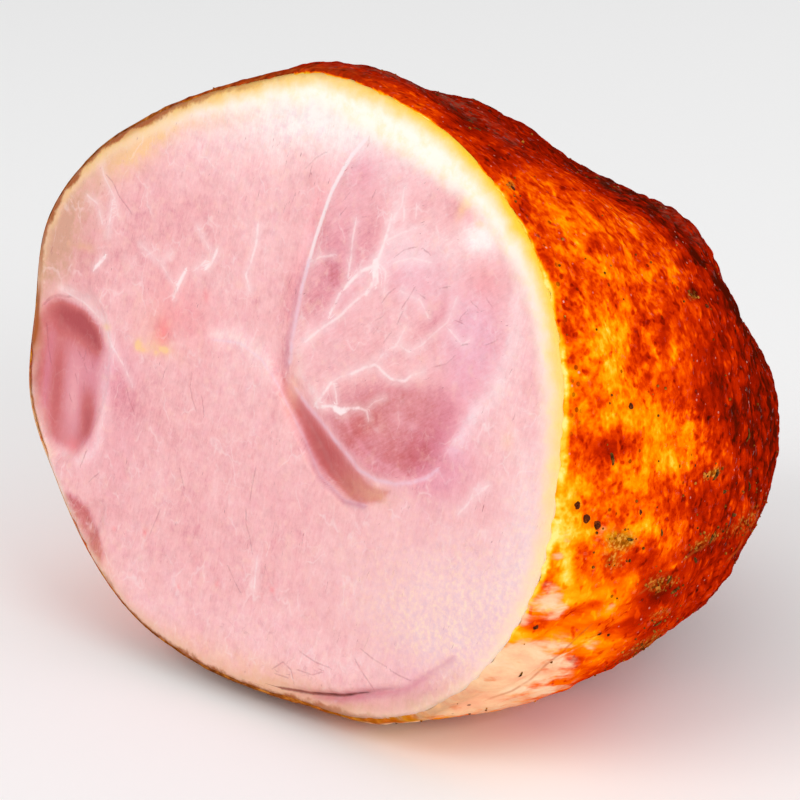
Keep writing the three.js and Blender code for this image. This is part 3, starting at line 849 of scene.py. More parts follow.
def placed(tree, stretch=(1, 1, 1), turned=(0, 0, 0), moved=0):
    """The place on the object in millimetres, moved and turned, and then stretched."""
    feeds = {
        "Vector": make(tree, "ShaderNodeTexCoord").outputs["Object"],
        "Location": (moved, moved, moved),
        "Rotation": [math.radians(angle) for angle in turned],
        "Scale": [size * MM for size in stretch],
    }
    return make(tree, "ShaderNodeMapping", feeds, vector_type="TEXTURE").outputs["Vector"]


def mottle(tree, where, size, detail=3.0, rough=0.55, twist=0.0):
    """Noise from 0 to 1 in blots about so many millimetres across."""
    feeds = {"Vector": where, "Scale": 1 / size, "Detail": detail, "Roughness": rough, "Distortion": twist}
    return make(tree, "ShaderNodeTexNoise", feeds).outputs["Fac"]


def webbing(tree, where, size, waver):
    """Distance from the nearest line of a net of cells, with its lines made to waver."""
    wobble = make(tree, "ShaderNodeTexNoise", {"Vector": where, "Scale": 2 / size, "Detail": 2.0})
    feeds = {0: wobble.outputs["Color"], 1: (0.5,) * 3}
    moved = make(tree, "ShaderNodeVectorMath", feeds, operation="SUBTRACT").outputs[0]
    feeds = {0: moved, 1: (waver,) * 3, 2: where}
    bent = make(tree, "ShaderNodeVectorMath", feeds, operation="MULTIPLY_ADD").outputs[0]
    feeds = {"Vector": bent, "Scale": 1 / size}
    cells = make(tree, "ShaderNodeTexVoronoi", feeds, feature="DISTANCE_TO_EDGE")
    return cells.outputs["Distance"]


def ramp(tree, value, stops):
    """Colours along a value from 0 to 1."""
    node = make(tree, "ShaderNodeValToRGB", {"Fac": value})
    while len(node.color_ramp.elements) < len(stops):
        node.color_ramp.elements.new(0.5)
    for element, (at, colour) in zip(node.color_ramp.elements, stops):
        element.position = at
        element.color = paint(*colour)
    return node.outputs["Color"]


def blend(tree, amount, first, second, kind="MIX"):
    """Two colours mixed by an amount."""
    node = make(tree, "ShaderNodeMix", data_type="RGBA", blend_type=kind, clamp_factor=True)
    for socket, value in ((node.inputs[0], amount), (node.inputs[6], first), (node.inputs[7], second)):
        if isinstance(value, bpy.types.NodeSocket):
            tree.links.new(value, socket)
        else:
            socket.default_value = value
    return node.outputs[2]


def roughen(tree, shader, strength, depth, height):
    """Makes a surface look rough, as deep as so many millimetres."""
    feeds = {"Strength": strength, "Distance": depth * MM, "Height": height}
    bump = make(tree, "ShaderNodeBump", feeds)
    tree.links.new(bump.outputs["Normal"], shader.inputs["Normal"])


GRID_STEP = 0.8
MUSCLE_MOTTLE_SIZE = 18
CLOUD_SIZE = 5
FINE_MOTTLE_SIZE = 1.1
# The fibres run nearly upright in the left muscle and lean over in the centre one
LEFT_LEAN = 8
CENTRE_LEAN = -35
LEFT_FIBRE_SIZES = (0.5, 3, 3.2)
CENTRE_FIBRE_SIZES = (3, 3, 0.6)
STREAK_SIZES = (2.6, 3, 14)
UNEVEN_SHARES = {"muscle": 0.24, "cloud": 0.26, "fibres": 0.26, "streaks": 0.16, "fine": 0.22}
# Each net: its size in millimetres, how far it wavers, the width of its lines and how pale they are
NETS = [(11, 7, 0.04, 0.3), (4.5, 3, 0.06, 0.18)]
# Each set of cracks: their sizes in millimetres and their lean in degrees
CRACKS = [((0.5, 3, 4), 10), ((3, 3, 0.5), -28)]
CRACKS_FROM = 0.69
LILAC_TINT = (244, 218, 236)
FLUSHED_COLOUR = (250, 142, 146)
DULL_TINT = (232, 222, 224)
WARM_COLOUR = (252, 206, 190)
TAN_COLOUR = (250, 200, 150)
GREYED_COLOUR = (214, 160, 138)
NET_COLOUR = (255, 232, 232)
VEIN_COLOUR = (255, 230, 230)
SEAM_COLOUR = (255, 232, 234)
MEMBRANE_COLOUR = (240, 204, 220)
SHADOW_COLOUR = (186, 112, 140)
CRACK_COLOUR = (176, 96, 106)
TUCKED_COLOUR = (210, 122, 142)
FAT_COLOUR = (255, 250, 236)
RUDDY_FAT_COLOUR = (255, 216, 200)
CREAM_FAT_COLOUR = (255, 234, 180)
YELLOW_FAT_COLOUR = (255, 202, 46)
TANNED_COLOUR = (222, 160, 118)
BROWN_EDGE_COLOUR = (170, 88, 34)
SLIT_COLOUR = (140, 62, 50)
CURD_COLOURS = [(0.35, (232, 198, 206)), (0.5, (246, 210, 206)), (0.66, (255, 230, 200))]
MUSCLE_COLOURS = [
    (0.0, (255, 243, 238)),
    (0.2, (255, 222, 220)),
    (0.4, (250, 197, 198)),
    (0.55, (243, 180, 182)),
    (0.7, (228, 152, 158)),
    (0.85, (208, 112, 112)),
    (1.0, (180, 78, 82)),
]
meat, tree, shader = new_material("cooked_meat")
flesh = placed(tree)
cloud = mottle(tree, flesh, CLOUD_SIZE, 5, 0.65)
fibres_left = mottle(tree, placed(tree, LEFT_FIBRE_SIZES, (0, LEFT_LEAN, 0)), 1, 3, 0.6)
fibres_centre = mottle(tree, placed(tree, CENTRE_FIBRE_SIZES, (0, CENTRE_LEAN, 0)), 1, 3, 0.6)
fibres = mixed(tree, stored(tree, "centre"), fibres_left, fibres_centre)
tone = stored(tree, "tone")
lively = calc(tree, "MULTIPLY_ADD", stored(tree, "plain"), -0.8, 1)
unevenness = {
    "muscle": mottle(tree, flesh, MUSCLE_MOTTLE_SIZE, 4),
    "cloud": cloud,
    "fibres": fibres,
    "streaks": mottle(tree, placed(tree, STREAK_SIZES, (0, LEFT_LEAN, 0)), 1, 3, 0.55),
    "fine": mottle(tree, flesh, FINE_MOTTLE_SIZE, 3, 0.7),
}
for name, share in UNEVEN_SHARES.items():
    uneven = calc(tree, "MULTIPLY_ADD", unevenness[name], share, -share / 2)
    tone = plus(tree, tone, times(tree, uneven, lively))
colour = ramp(tree, tone, MUSCLE_COLOURS)
# the pink turns a little cooler and warmer from place to place
cool = times(tree, soft_step(tree, mottle(tree, flesh, 3.2, 4, 0.6), 0.45, 0.7, 0, 0.35), lively)
cool = calc(tree, "MAXIMUM", cool, stored(tree, "lilac"))
colour = blend(tree, cool, colour, paint(*LILAC_TINT), "MULTIPLY")
colour = blend(tree, stored(tree, "flushed"), colour, paint(*FLUSHED_COLOUR))
dull = soft_step(tree, mottle(tree, placed(tree, moved=7), 3.6, 5, 0.68), 0.42, 0.72, 0, 0.42)
colour = blend(tree, times(tree, dull, lively), colour, paint(*DULL_TINT), "MULTIPLY")
warm = soft_step(tree, mottle(tree, placed(tree, moved=1), 4, 4, 0.6), 0.52, 0.72, 0, 0.3)
colour = blend(tree, times(tree, warm, lively), colour, paint(*WARM_COLOUR))
uneven = soft_step(tree, mottle(tree, placed(tree, moved=5), 3, 4, 0.65), 0.2, 0.8, 0.4, 1.3)
colour = blend(tree, times(tree, stored(tree, "tan"), uneven), colour, paint(*TAN_COLOUR))
colour = blend(tree, times(tree, stored(tree, "greyed_and_sheen"), uneven), colour, paint(*GREYED_COLOUR))
# nets of thin pale lines of fat between the fibre bundles
for moved, (size, waver, width, strength) in enumerate(NETS, 2):
    net = webbing(tree, placed(tree, (1, 1, 1.4), moved=moved), size, waver)
    thin = soft_step(tree, net, 0.0, width, strength, 0)
    broken = soft_step(tree, mottle(tree, placed(tree, moved=moved), 8, 3), 0.5, 0.62)
    thin = times(tree, times(tree, thin, broken), lively)
    colour = blend(tree, thin, colour, paint(*NET_COLOUR))
# veins, membranes and pale bands, each with a ragged edge
ragged = calc(tree, "MULTIPLY_ADD", mottle(tree, flesh, 1.3, 4, 0.7), 2.2, -1.1)
patchy = soft_step(tree, mottle(tree, flesh, 3.5, 3), 0.35, 0.55, 0.55, 1)
vein_line = line_off(tree, "vein")
vein = plus(tree, vein_line, times(tree, ragged, 0.4))
vein = soft_step(tree, vein, -0.5, 0.7, 1, 0)
vein = times(tree, vein, soft_step(tree, stored(tree, "vein_half"), 0.1, 0.7, 0.55, 1))
halo = soft_step(tree, stored(tree, "vein_off"), -0.5, 2.6, 0.3, 0)
vein = calc(tree, "MAXIMUM", times(tree, vein, patchy), halo)
colour = blend(tree, vein, colour, paint(*VEIN_COLOUR))
membrane = plus(tree, line_off(tree, "membrane"), times(tree, ragged, 0.3))
membrane = soft_step(tree, membrane, -0.5, 0.9, 0.65, 0)
seam = plus(tree, line_off(tree, "seam"), times(tree, ragged, 0.2))
seam = times(tree, soft_step(tree, seam, -0.2, 0.5, 0.95, 0), stored(tree, "seam_shown"))
colour = blend(tree, seam, colour, paint(*SEAM_COLOUR))
colour = blend(tree, times(tree, membrane, patchy), colour, paint(*MEMBRANE_COLOUR))
colour = blend(tree, stored(tree, "shadow"), colour, paint(*SHADOW_COLOUR))
# cream and grey flecks low on the right
curd = ramp(tree, mottle(tree, flesh, 1.6, 4, 0.65), CURD_COLOURS)
colour = blend(tree, times(tree, stored(tree, "creamy"), 0.6), colour, curd)
# thin dark cracks between fibres, and squiggles where the surface has dried
cracks = []
for sizes, lean in CRACKS:
    crack = mottle(tree, placed(tree, sizes, (0, lean, 0)), 1, 2, 0.5, 1.2)
    crack = soft_step(tree, crack, CRACKS_FROM, CRACKS_FROM + 0.07, 0, 0.7)
    cracks.append(times(tree, crack, soft_step(tree, mottle(tree, flesh, 9, 2), 0.4, 0.58)))
crack = mixed(tree, stored(tree, "centre"), *cracks)
crack = times(tree, crack, calc(tree, "MULTIPLY_ADD", stored(tree, "plain"), -0.7, 1))
squiggle = soft_step(tree, webbing(tree, placed(tree, moved=4), 6, 5), 0.0, 0.035, 0.4, 0)
squiggle = times(tree, squiggle, soft_step(tree, mottle(tree, flesh, 5, 2), 0.46, 0.58))
crack = calc(tree, "MAXIMUM", crack, times(tree, squiggle, stored(tree, "wrinkles")))
fine_crease = plus(tree, line_off(tree, "crease"), times(tree, ragged, 0.3))
fine_crease = soft_step(tree, fine_crease, -0.15, 0.3, 0.4, 0)
crack = calc(tree, "MAXIMUM", crack, times(tree, fine_crease, patchy))
colour = blend(tree, crack, colour, paint(*CRACK_COLOUR))
# flesh in the shade of the slit
colour = blend(tree, stored(tree, "tucked"), colour, paint(*TUCKED_COLOUR))
# the fat: white inside, yellow against the rind
inset = plus(tree, stored(tree, "inset"), calc(tree, "MULTIPLY_ADD", mottle(tree, flesh, 6, 4), 4, -2))
fat_edge = calc(tree, "SUBTRACT", stored(tree, "fat"), inset)
fat = soft_step(tree, fat_edge, -4.0, 3.0)
fat_colour = blend(tree, stored(tree, "ruddy"), paint(*FAT_COLOUR), paint(*RUDDY_FAT_COLOUR))
fat_colour = blend(tree, soft_step(tree, cloud, 0.4, 0.7, 0, 0.6), fat_colour, paint(*CREAM_FAT_COLOUR))
colour = blend(tree, fat, colour, fat_colour)
yellow = times(tree, soft_step(tree, inset, 1.0, 7.0, 1, 0), stored(tree, "yellow"))
colour = blend(tree, yellow, colour, paint(*YELLOW_FAT_COLOUR))
tanned = times(tree, soft_step(tree, inset, 0.0, 7.0, 0.7, 0), stored(tree, "brown"))
colour = blend(tree, tanned, colour, paint(*TANNED_COLOUR))
near_edge = calc(tree, "MULTIPLY_ADD", ragged, 0.9, stored(tree, "inset"))
near_edge = plus(tree, near_edge, soft_step(tree, mottle(tree, flesh, 7, 3), 0.3, 0.7, -0.9, 0.9))
near_edge = calc(tree, "MULTIPLY_ADD", stored(tree, "edge_wide"), -1.8, near_edge)
brown = times(tree, soft_step(tree, near_edge, 0.8, 2.6, 1, 0), stored(tree, "brown"))
brown = calc(tree, "MAXIMUM", brown, stored(tree, "rusty"))
colour = blend(tree, brown, colour, paint(*BROWN_EDGE_COLOUR))
slit_off = plus(tree, calc(tree, "ABSOLUTE", stored(tree, "slit")), stored(tree, "slit_closed"))
slit_off = plus(tree, slit_off, times(tree, ragged, 0.2))
colour = blend(tree, soft_step(tree, slit_off, 0.1, 0.7, 0.85, 0), colour, paint(*SLIT_COLOUR))
tree.links.new(colour, shader.inputs["Base Color"])
fine = mottle(tree, flesh, 0.8, 4, 0.6)
bumps = plus(tree, times(tree, fine, 0.5), times(tree, fibres, 0.6))
bumps = calc(tree, "SUBTRACT", bumps, times(tree, crack, 1.2))
roughen(tree, shader, 0.4, 0.5, bumps)
dullness = soft_step(tree, mottle(tree, flesh, 4, 3), 0.3, 0.7, 0.42, 0.6)
tree.links.new(dullness, shader.inputs["Roughness"])
shader.inputs["Subsurface Weight"].default_value = 0.2
shader.inputs["Subsurface Radius"].default_value = (1.0, 0.35, 0.3)
shader.inputs["Subsurface Scale"].default_value = 0.002
shader.inputs["Specular IOR Level"].default_value = 0.3

ham_meat = new_piece("ham_meat", meat_points, meat_faces, meat)
hidden = len(meat_points) - len(face_u)


def mark_face(name, values, inside=0.0):
    """Stores a number for each point of the cut face, and one for all the points behind it."""
    mark(ham_meat, name, np.concatenate([values, np.full(hidden, inside)]))


face_angle = np.degrees(np.arctan2(face_v, face_u))
seen_u, seen_v = seen_on_face(meat_points[:len(face_u)])
parts = [inside_of(outline, seen_u, seen_v, edge) for outline, edge in OUTLINED]
centre, mauve_strip, crescent, bowl, lobe, small_lobe, flap = parts
seam_off, seam_along = nearest(on_face_path(SEAM_LINE), seen_u, seen_v)
wall_off, wall_along = nearest(on_face_path(WALL_LINE), seen_u, seen_v)
tone_values = MUSCLE_TONE + LOWER_TONE * smooth(20, -10, seen_v)
tone_values += patches(DEEPER, seen_u, seen_v) - patches(PALER, seen_u, seen_v)
# the bowl and the crescent: their own deeper pink and painted shade of the hollow
tone_values += MAUVE_TONE * mauve_strip + BOWL_SHADE_TONE * bowl * (1 - crescent)
tone_values += (CRESCENT_SHADE_TONE + patches(CRESCENT_DEEPER, seen_u, seen_v)) * crescent
# the flap's deeper pink is partly painted shade under the slit
tone_values += LOBE_TONE * lobe + SMALL_LOBE_TONE * small_lobe + FLAP_SHADE_TONE * flap
# painted shade beside the seam
tone_values += SEAM_SHADE_TONE * bell((seam_off + 3) / 3) * smooth(0.3, 0.9, seam_along)
for path, half_width, amount in PALE_BANDS:
    tone_values -= amount * bell(nearest(on_face_path(path), seen_u, seen_v)[0] / half_width)
mark_face("tone", tone_values, 0.5)
mark_face("centre", centre)
mark_face("plain", np.max([crescent, lobe, 0.5 * bowl], axis=0))
mark_face("lilac", patches(LILAC, seen_u, seen_v) * (1 - crescent) + 0.5 * small_lobe)
listed_patches = {"flushed": FLUSHED, "tan": TAN, "creamy": CREAMY, "wrinkles": WRINKLED, "greyed_and_sheen": GREYED}
for name, listed in listed_patches.items():
    mark_face(name, patches(listed, seen_u, seen_v))
edge_inset = rim_inset(face_u, face_v)
mark_face("rusty", patches(RUSTY, seen_u, seen_v) * (1 - smooth(2, 5, edge_inset)))
membranes = [(SEAM_LINE[6:], 0.5), (WALL_LINE, 0), (LEDGE_LINE, 0.3)]
seams = [(SEAM_LINE, SEAM_LINE_HALF)]
listed_lines = {"vein": VEINS, "crease": FINE_CREASES, "membrane": membranes, "seam": seams}
for name, listed in listed_lines.items():
    for part_name, values in line_marks(name, on_face_lines(listed), seen_u, seen_v).items():
        mark_face(part_name, values, 99)
mark_face("seam_shown", 1 - smooth(0.5, 0.8, seam_along))
under_wall = 0.5 * bell((wall_off + 0.6) / 0.9) * smooth(0.5, 0.75, wall_along)
beside_seam = 0.35 * bell((seam_off + 1.4) / 1.1) * smooth(0.45, 0.8, seam_along)
mark_face("shadow", under_wall + beside_seam)
slit_off, slit_along = nearest(SLIT, face_u, face_v)
mark_face("slit", slit_off, 99)
mark_face("slit_closed", 0.9 * smooth(0.3, 0.6, slit_along))
under_slit = bell((slit_off + 1.2 - 0.8 * slit_along) / (2 - 0.9 * slit_along))
mark_face("tucked", under_slit * smooth(0, 0.1, slit_along) * (0.75 - 0.35 * slit_along))
mark_face("inset", edge_inset)
listed_rings = {
    "fat": FAT_WIDTHS, "ruddy": RUDDY_FAT, "yellow": YELLOW_FAT, "brown": EDGE_BROWNS,
    "edge_wide": EDGE_WIDTHS,
}
for name, listed in listed_rings.items():
    mark_face(name, ring_value(listed, face_angle))
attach(ham_meat, "root")
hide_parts("ham")

# The rind
# The smoked skin that wraps the ham all round: thin, glossy, orange to nearly black, wrinkled
# into cells at the far end, and pale where it was tucked under. It ends in a rounded lip at the cut.
RIND_ROUND = 520
LIP_ROWS = 6
RIND_ROWS = 168
SHOWN_MIDDLE = 15
SHOWN_HALF = 92
SHOWN_LENGTH = 125
SHOWN_FINENESS = 2
INNER_ROWS = 8
INNER_INSET = 3.2
LIP_RAGGED = 1
LIP_RISE = 0.16
LIP_SUNK = 0.14
FLUSH_LIP_AT = 308
FLUSH_LIP_HALF = 34
# Each roughness of the skin: its size and rise in millimetres, and the number that starts its noise
RIND_RELIEF = [(22, 0.6, 11), (9, 0.45, 12), (4.2, 0.4, 13), (2.4, 0.3, 14)]
CELL_SIZE = 6
CELL_RISE = 0.6
# How roasted the skin is, 0 to 1, every 30 degrees round it from +X, at five places along it
ROAST_AT = (6, 28, 50, 80, 118)
ROAST = [
    [0.5, 0.53, 0.66, 0.78, 0.76, 0.7, 0.64, 0.6, 0.56, 0.5, 0.32, 0.36],
    [0.51, 0.54, 0.78, 0.88, 0.82, 0.7, 0.62, 0.56, 0.52, 0.5, 0.36, 0.46],
    [0.5, 0.56, 0.8, 0.88, 0.84, 0.7, 0.6, 0.55, 0.5, 0.5, 0.46, 0.66],
    [0.72, 0.72, 0.84, 0.88, 0.82, 0.72, 0.64, 0.6, 0.56, 0.54, 0.56, 0.7],
    [0.84, 0.84, 0.92, 0.92, 0.86, 0.78, 0.72, 0.7, 0.68, 0.7, 0.82, 0.86],
]
# Each patch: its place in the photograph, its half width and half height in millimetres across the
# view, its lean in degrees, and how much it adds
MORE_ROASTED = [
    ((604, 450), 6.5, 4.6, 0, 0.26),
    ((617, 447), 2.4, 2.6, 0, 0.1),
    ((678, 385), 9, 7, 0, 0.14),
    ((690, 335), 9, 11, 0, 0.16),
    ((590, 368), 5, 8, 0, 0.1),
    ((676, 440), 6, 6, 0, 0.08),
    ((660, 560), 12, 9, 0, 0.08),
    ((582, 556), 3, 5, 0, 0.1),
    ((640, 505), 8, 6, 0, 0.05),
    ((594, 414), 2, 7, -8, 0.12),
    ((603, 402), 3.4, 2.6, 0, 0.14),
    ((617, 425), 1.5, 3, 0, 0.1),
    ((575, 289), 1.6, 2.4, 30, 0.26),
    ((595, 238), 1.5, 3.8, -26, 0.18),
    ((592, 247), 2.4, 1.6, 0, 0.16),
    ((548, 257), 3, 1.8, 0, 0.2),
    ((543, 235), 2, 4, -20, 0.14),
    ((597, 213), 1.3, 3, -26, 0.12),
    ((682, 262), 2.6, 2.2, -30, 0.14),
    ((697, 258), 1.2, 4, -30, 0.2),
    ((678, 240), 3, 1.6, 30, 0.14),
    ((620, 194), 10, 1.6, 32, 0.16),
    ((655, 216), 8, 1.8, 38, 0.12),
    ((642, 250), 3, 6, 0, 0.1),
    ((670, 318), 4, 6, 0, 0.07),
    ((560, 190), 8, 5, 30, 0.08),
    ((632, 440), 4, 5, 0, 0.06),
    ((690, 400), 4, 4, 0, 0.05),
    ((692, 295), 1.7, 2, -20, 0.26),
    ((641, 312), 1.3, 2.4, -40, 0.2),
    ((637, 342), 2.2, 3.6, 0, 0.14),
    ((662, 335), 2.4, 7, 0, 0.12),
    ((660, 386), 1.8, 4, 0, 0.12),
    ((672, 300), 3, 5, 0, 0.08),
    ((715, 365), 6, 5, 0, 0.04),
    ((716, 395), 6, 8, 0, 0.12),
    ((701, 407), 2, 2.4, 0, 0.12),
    ((651, 361), 1.3, 1.8, -20, 0.18),
    ((668, 486), 1.6, 4, 0, 0.18),
    ((680, 508), 6, 5, 0, 0.18),
    ((702, 497), 4, 6, 0, 0.14),
    ((616, 518), 1.8, 1.8, 0, 0.16),
    ((649, 541), 1.6, 2.8, 0, 0.18),
    ((632, 557), 5, 2.4, 0, 0.08),
    ((612, 562), 8, 4.4, 0, 0.14),
    ((655, 588), 8, 5, -10, 0.14),
    ((700, 548), 8, 1.3, -30, 0.16),
    ((652, 604), 6, 3, -30, 0.1),
    ((578, 609), 9, 1.8, -16, 0.2),
    ((535, 625), 4.4, 2, -8, 0.24),
    ((544, 583), 2.4, 2, 0, 0.3),
    ((545, 560), 1, 6, 18, 0.34),
    ((572, 662), 4, 1.3, -20, 0.14),
    ((640, 650), 9, 1.6, -34, 0.12),
    ((735, 305), 1.8, 12, -32, 0.24),
    ((498, 160), 7, 5, 0, 0.18),
    ((462, 126), 8, 3, 34, 0.12),
    ((515, 205), 4, 3, 0, 0.12),
    ((525, 215), 3, 3, 0, 0.12),
    ((740, 425), 6, 8, 0, 0.08),
]
LESS_ROASTED = [
    ((608, 345), 6.4, 4.6, 0, 0.16),
    ((623, 325), 4, 4, 0, 0.1),
    ((602, 310), 1.6, 5, -20, 0.1),
    ((590, 310), 4, 7, 0, 0.07),
    ((613, 374), 3, 5, 0, 0.12),
    ((658, 430), 3, 8, -12, 0.12),
    ((682, 420), 5, 3.4, 0, 0.12),
    ((690, 446), 5, 5, 0, 0.16),
    ((668, 462), 6, 4, 0, 0.12),
    ((651, 275), 1.1, 2.2, 0, 0.2),
    ((650, 293), 1.1, 2.4, 0, 0.24),
    ((640, 262), 1.3, 2.6, -10, 0.12),
    ((634, 230), 1.2, 3.6, -38, 0.2),
    ((645, 247), 1, 2.2, -15, 0.14),
    ((590, 226), 3.4, 4, 0, 0.06),
    ((557, 206), 5, 6, 0, 0.1),
    ((588, 265), 4, 3, 0, 0.08),
    ((674, 346), 1, 2, 0, 0.2),
    ((673, 362), 1, 1.7, 0, 0.2),
    ((653, 347), 1.2, 2.4, -25, 0.16),
    ((620, 411), 3, 2.6, 0, 0.1),
    ((603, 420), 3, 3, 0, 0.08),
    ((643, 446), 1.8, 4, 0, 0.1),
    ((634, 430), 2.4, 3, 0, 0.08),
    ((571, 492), 2.6, 6, 0, 0.22),
    ((567, 525), 2.6, 6, 0, 0.24),
    ((566, 560), 1.8, 5, 0, 0.16),
    ((750, 515), 6, 6, 30, 0.1),
    ((560, 240), 4, 4, 0, 0.03),
    ((590, 372), 5, 6, 0, 0.03),
    ((606, 650), 9, 2.4, -26, 0.12),
    ((566, 582), 2, 6, 0, 0.2),
    ((636, 527), 4.4, 4.8, 0, 0.14),
    ((587, 598), 1.6, 1.6, 0, 0.2),
    ((573, 601), 3.4, 2.2, -34, 0.12),
    ((632, 581), 2.6, 2, -30, 0.22),
    ((674, 565), 2.2, 1.2, -30, 0.2),
    ((611, 608), 1.8, 4, 35, 0.22),
    ((590, 638), 3, 3.4, 20, 0.2),
    ((520, 634), 8, 2.2, -6, 0.14),
    ((690, 275), 2, 1.6, 0, 0.1),
    ((672, 268), 2, 2, 0, 0.1),
    ((535, 190), 8, 5, 36, 0.08),
]
PEACH = [
    ((549, 597), 3.4, 3.2, 0, 0.85),
    ((560, 612), 3, 1.4, -44, 0.6),
    ((522, 656), 12, 3.6, -12, 1.1),
    ((490, 672), 13, 4.4, -14, 1.2),
    ((450, 702), 15, 3.4, -8, 1.1),
    ((516, 684), 12, 2.4, -22, 0.8),
    ((563, 666), 3.4, 2.4, -30, 0.6),
    ((480, 708), 12, 2, -8, 0.8),
    ((545, 692), 10, 2.4, -20, 0.55),
    ((592, 640), 2.2, 3.2, 25, 0.45),
    ((611, 607), 1.2, 3.2, 35, 0.3),
    ((566, 539), 2, 2.4, 0, 0.45),
    ((557, 556), 2, 1, 0, 0.6),
    ((590, 546), 1.4, 4, 36, 0.35),
    ((602, 533), 1.6, 2.6, 30, 0.3),
    ((545, 610), 4, 2, 0, 0.5),
    ((520, 612), 3, 4, 0, 0.8),
]
HERB_STAINED = [
    ((618, 540), 5, 4, 0, 0.75),
    ((612, 563), 3.4, 2.8, 0, 0.55),
    ((628, 542), 2, 1.6, -20, 0.4),
    ((655, 585), 3, 2.8, 0, 0.55),
    ((672, 580), 3.4, 2, 0, 0.4),
    ((713, 473), 3.6, 1.2, -32, 0.9),
    ((704, 541), 7, 1.8, -28, 0.5),
    ((748, 520), 4, 9, 38, 0.35),
    ((660, 614), 5, 2, -30, 0.45),
    ((636, 648), 8, 1.4, -34, 0.4),
    ((692, 296), 1.6, 1.8, 0, 0.5),
    ((511, 185), 1.3, 1.3, 0, 0.8),
    ((660, 640), 7, 2, -34, 0.4),
]
# Grey-brown strips of painted sheen, the reflection along the top of the glossy skin
PAINTED_SHEEN_STRIPS = [
    ((666, 211), 6.5, 1.3, 40, 0.8),
    ((694, 236), 3, 1.3, 50, 0.6),
    ((436, 92), 9, 1.4, 26, 0.8),
    ((612, 186), 6, 1.2, 34, 0.5),
    ((360, 68), 10, 1, 6, 0.5),
    ((400, 78), 8, 1.4, 12, 0.6),
    ((470, 112), 8, 1.6, 30, 0.8),
    ((505, 138), 6, 1.2, 34, 0.6),
]
RIND_CREASES = [
    ([(592, 624), (583, 632), (562, 652), (547, 664), (530, 680), (512, 691), (486, 700)], 0.05),
    ([(684, 560), (693, 552), (702, 548), (716, 538)], 0.15),
    ([(640, 594), (652, 584), (668, 572)], 0.05),
    ([(728, 560), (738, 550), (744, 538), (752, 524)], 0.05),
]
# How far the yellow fat laps over the lip of the skin, and how brown the lip is, every 30 degrees
YELLOW_LIP = [2.2, 0.8, 0.5, 0.4, 0.3, 0.3, 0.3, 0.3, 0.3, 0.3, 0.3, 0.6]
YELLOW = 0.12
UMBER_LIP = [0, 0, 0, 0.2, 0.7, 1, 0.8, 0.4, 0.9, 1, 0.7, 0]
UMBER_REACH = [6, 6, 6, 6, 6, 6, 6, 8, 16, 16, 6, 6]
ROAST_COLOURS = [
    (0.0, (255, 228, 128)),
    (0.12, (255, 204, 64)),
    (0.24, (255, 174, 16)),
    (0.36, (255, 142, 0)),
    (0.48, (254, 106, 0)),
    (0.6, (230, 64, 0)),
    (0.72, (192, 36, 0)),
    (0.85, (146, 20, 0)),
    (1.0, (78, 14, 2)),
]
PEACH_COLOURS = [(0.34, (250, 184, 146)), (0.5, (254, 206, 162)), (0.66, (255, 222, 184))]
HERB_STAIN_COLOURS = [(0.36, (84, 44, 6)), (0.5, (168, 92, 12)), (0.62, (224, 160, 62))]
RED_STREAK_COLOUR = (238, 120, 58)
SHEEN_COLOUR = (122, 84, 66)
SKIN_CREASE_COLOUR = (190, 84, 30)
HOLE_COLOUR = (104, 20, 4)
GLINT_COLOUR = (240, 168, 150)
UMBER_COLOURS = [(0.35, (104, 52, 18)), (0.55, (158, 88, 34)), (0.7, (206, 134, 56))]
# Each size of blot in millimetres, and how far it changes the roast on the open skin and in the fold
BLOT_SIZES = [(24, 0.14, 0.06), (9, 0.16, 0.12), (4.2, 0.2, 0.14), (2, 0.14, 0.12)]
# Degrees up from +X between which the skin is folded, spotted and wrinkled, with soft starts and ends
FOLDED_ROUND = (-90, -66, -24, -12)
SPOTTED_ROUND = (-4, 6, 70, 100)
WRINKLED_FROM = (-80, -10)
WRINKLED_TO = (40, 80)
# Millimetres along between which the folds end, the wrinkles start, and the pale parts end
FOLDS_END = (60, 85)
WRINKLES_START = (45, 85)
TUCKED_END = (20, 50)
PINK_LIP_END = (2, 6)
SPOTS_ALONG = 3.4
SPOTS_HALF = 1.8
# Degrees round of the skin that was tucked under and of the pink lip, and their half widths
TUCKED_AT = 300
TUCKED_HALF = 14
TUCKED_PALENESS = 0.6
PINK_LIP_AT = 207
PINK_LIP_HALF = 18
STREAK_RADIUS = 80
STREAK_STRETCH = 3.5


def stretch_of(x, low, inner_low, inner_high, high):
    """1 between the inner bounds, 0 beyond the outer ones, and soft steps between."""
    return smooth(low, inner_low, x) * (1 - smooth(inner_high, high, x))


def even_shares(rows, start):
    """Shares of the length that lie evenly along the side from a start to the tip."""
    share = 1 - (1 - np.linspace(0, 1, 4001)) ** 2
    share = start + (1 - start) * share
    typical = [np.mean(values) for values in (RIM_RADII, MIDDLE_RADII, FAR_RADII)]
    radius = between(share, *typical) * np.sqrt(np.maximum(0, 1 - share**END_FULLNESS))
    fineness = np.where(share[1:] * LENGTH < SHOWN_LENGTH, SHOWN_FINENESS, 1)
    run = np.concatenate([[0], np.cumsum(np.hypot(np.diff(share) * LENGTH, np.diff(radius)) * fineness)])
    return np.interp(np.linspace(0, run[-1], rows + 1), run, share)


def uneven_angles(count):
    """Angles all round, closer together on the side that the photograph shows."""
    angle = np.linspace(0, 360, 3601)
    shown = 1 - smooth(SHOWN_HALF, SHOWN_HALF + 20, np.abs(turn(SHOWN_MIDDLE, angle)))
    run = np.concatenate([[0], np.cumsum(1 + (SHOWN_FINENESS - 1) * shown[1:])])
    return np.interp(np.arange(count) / count * run[-1], run, angle)


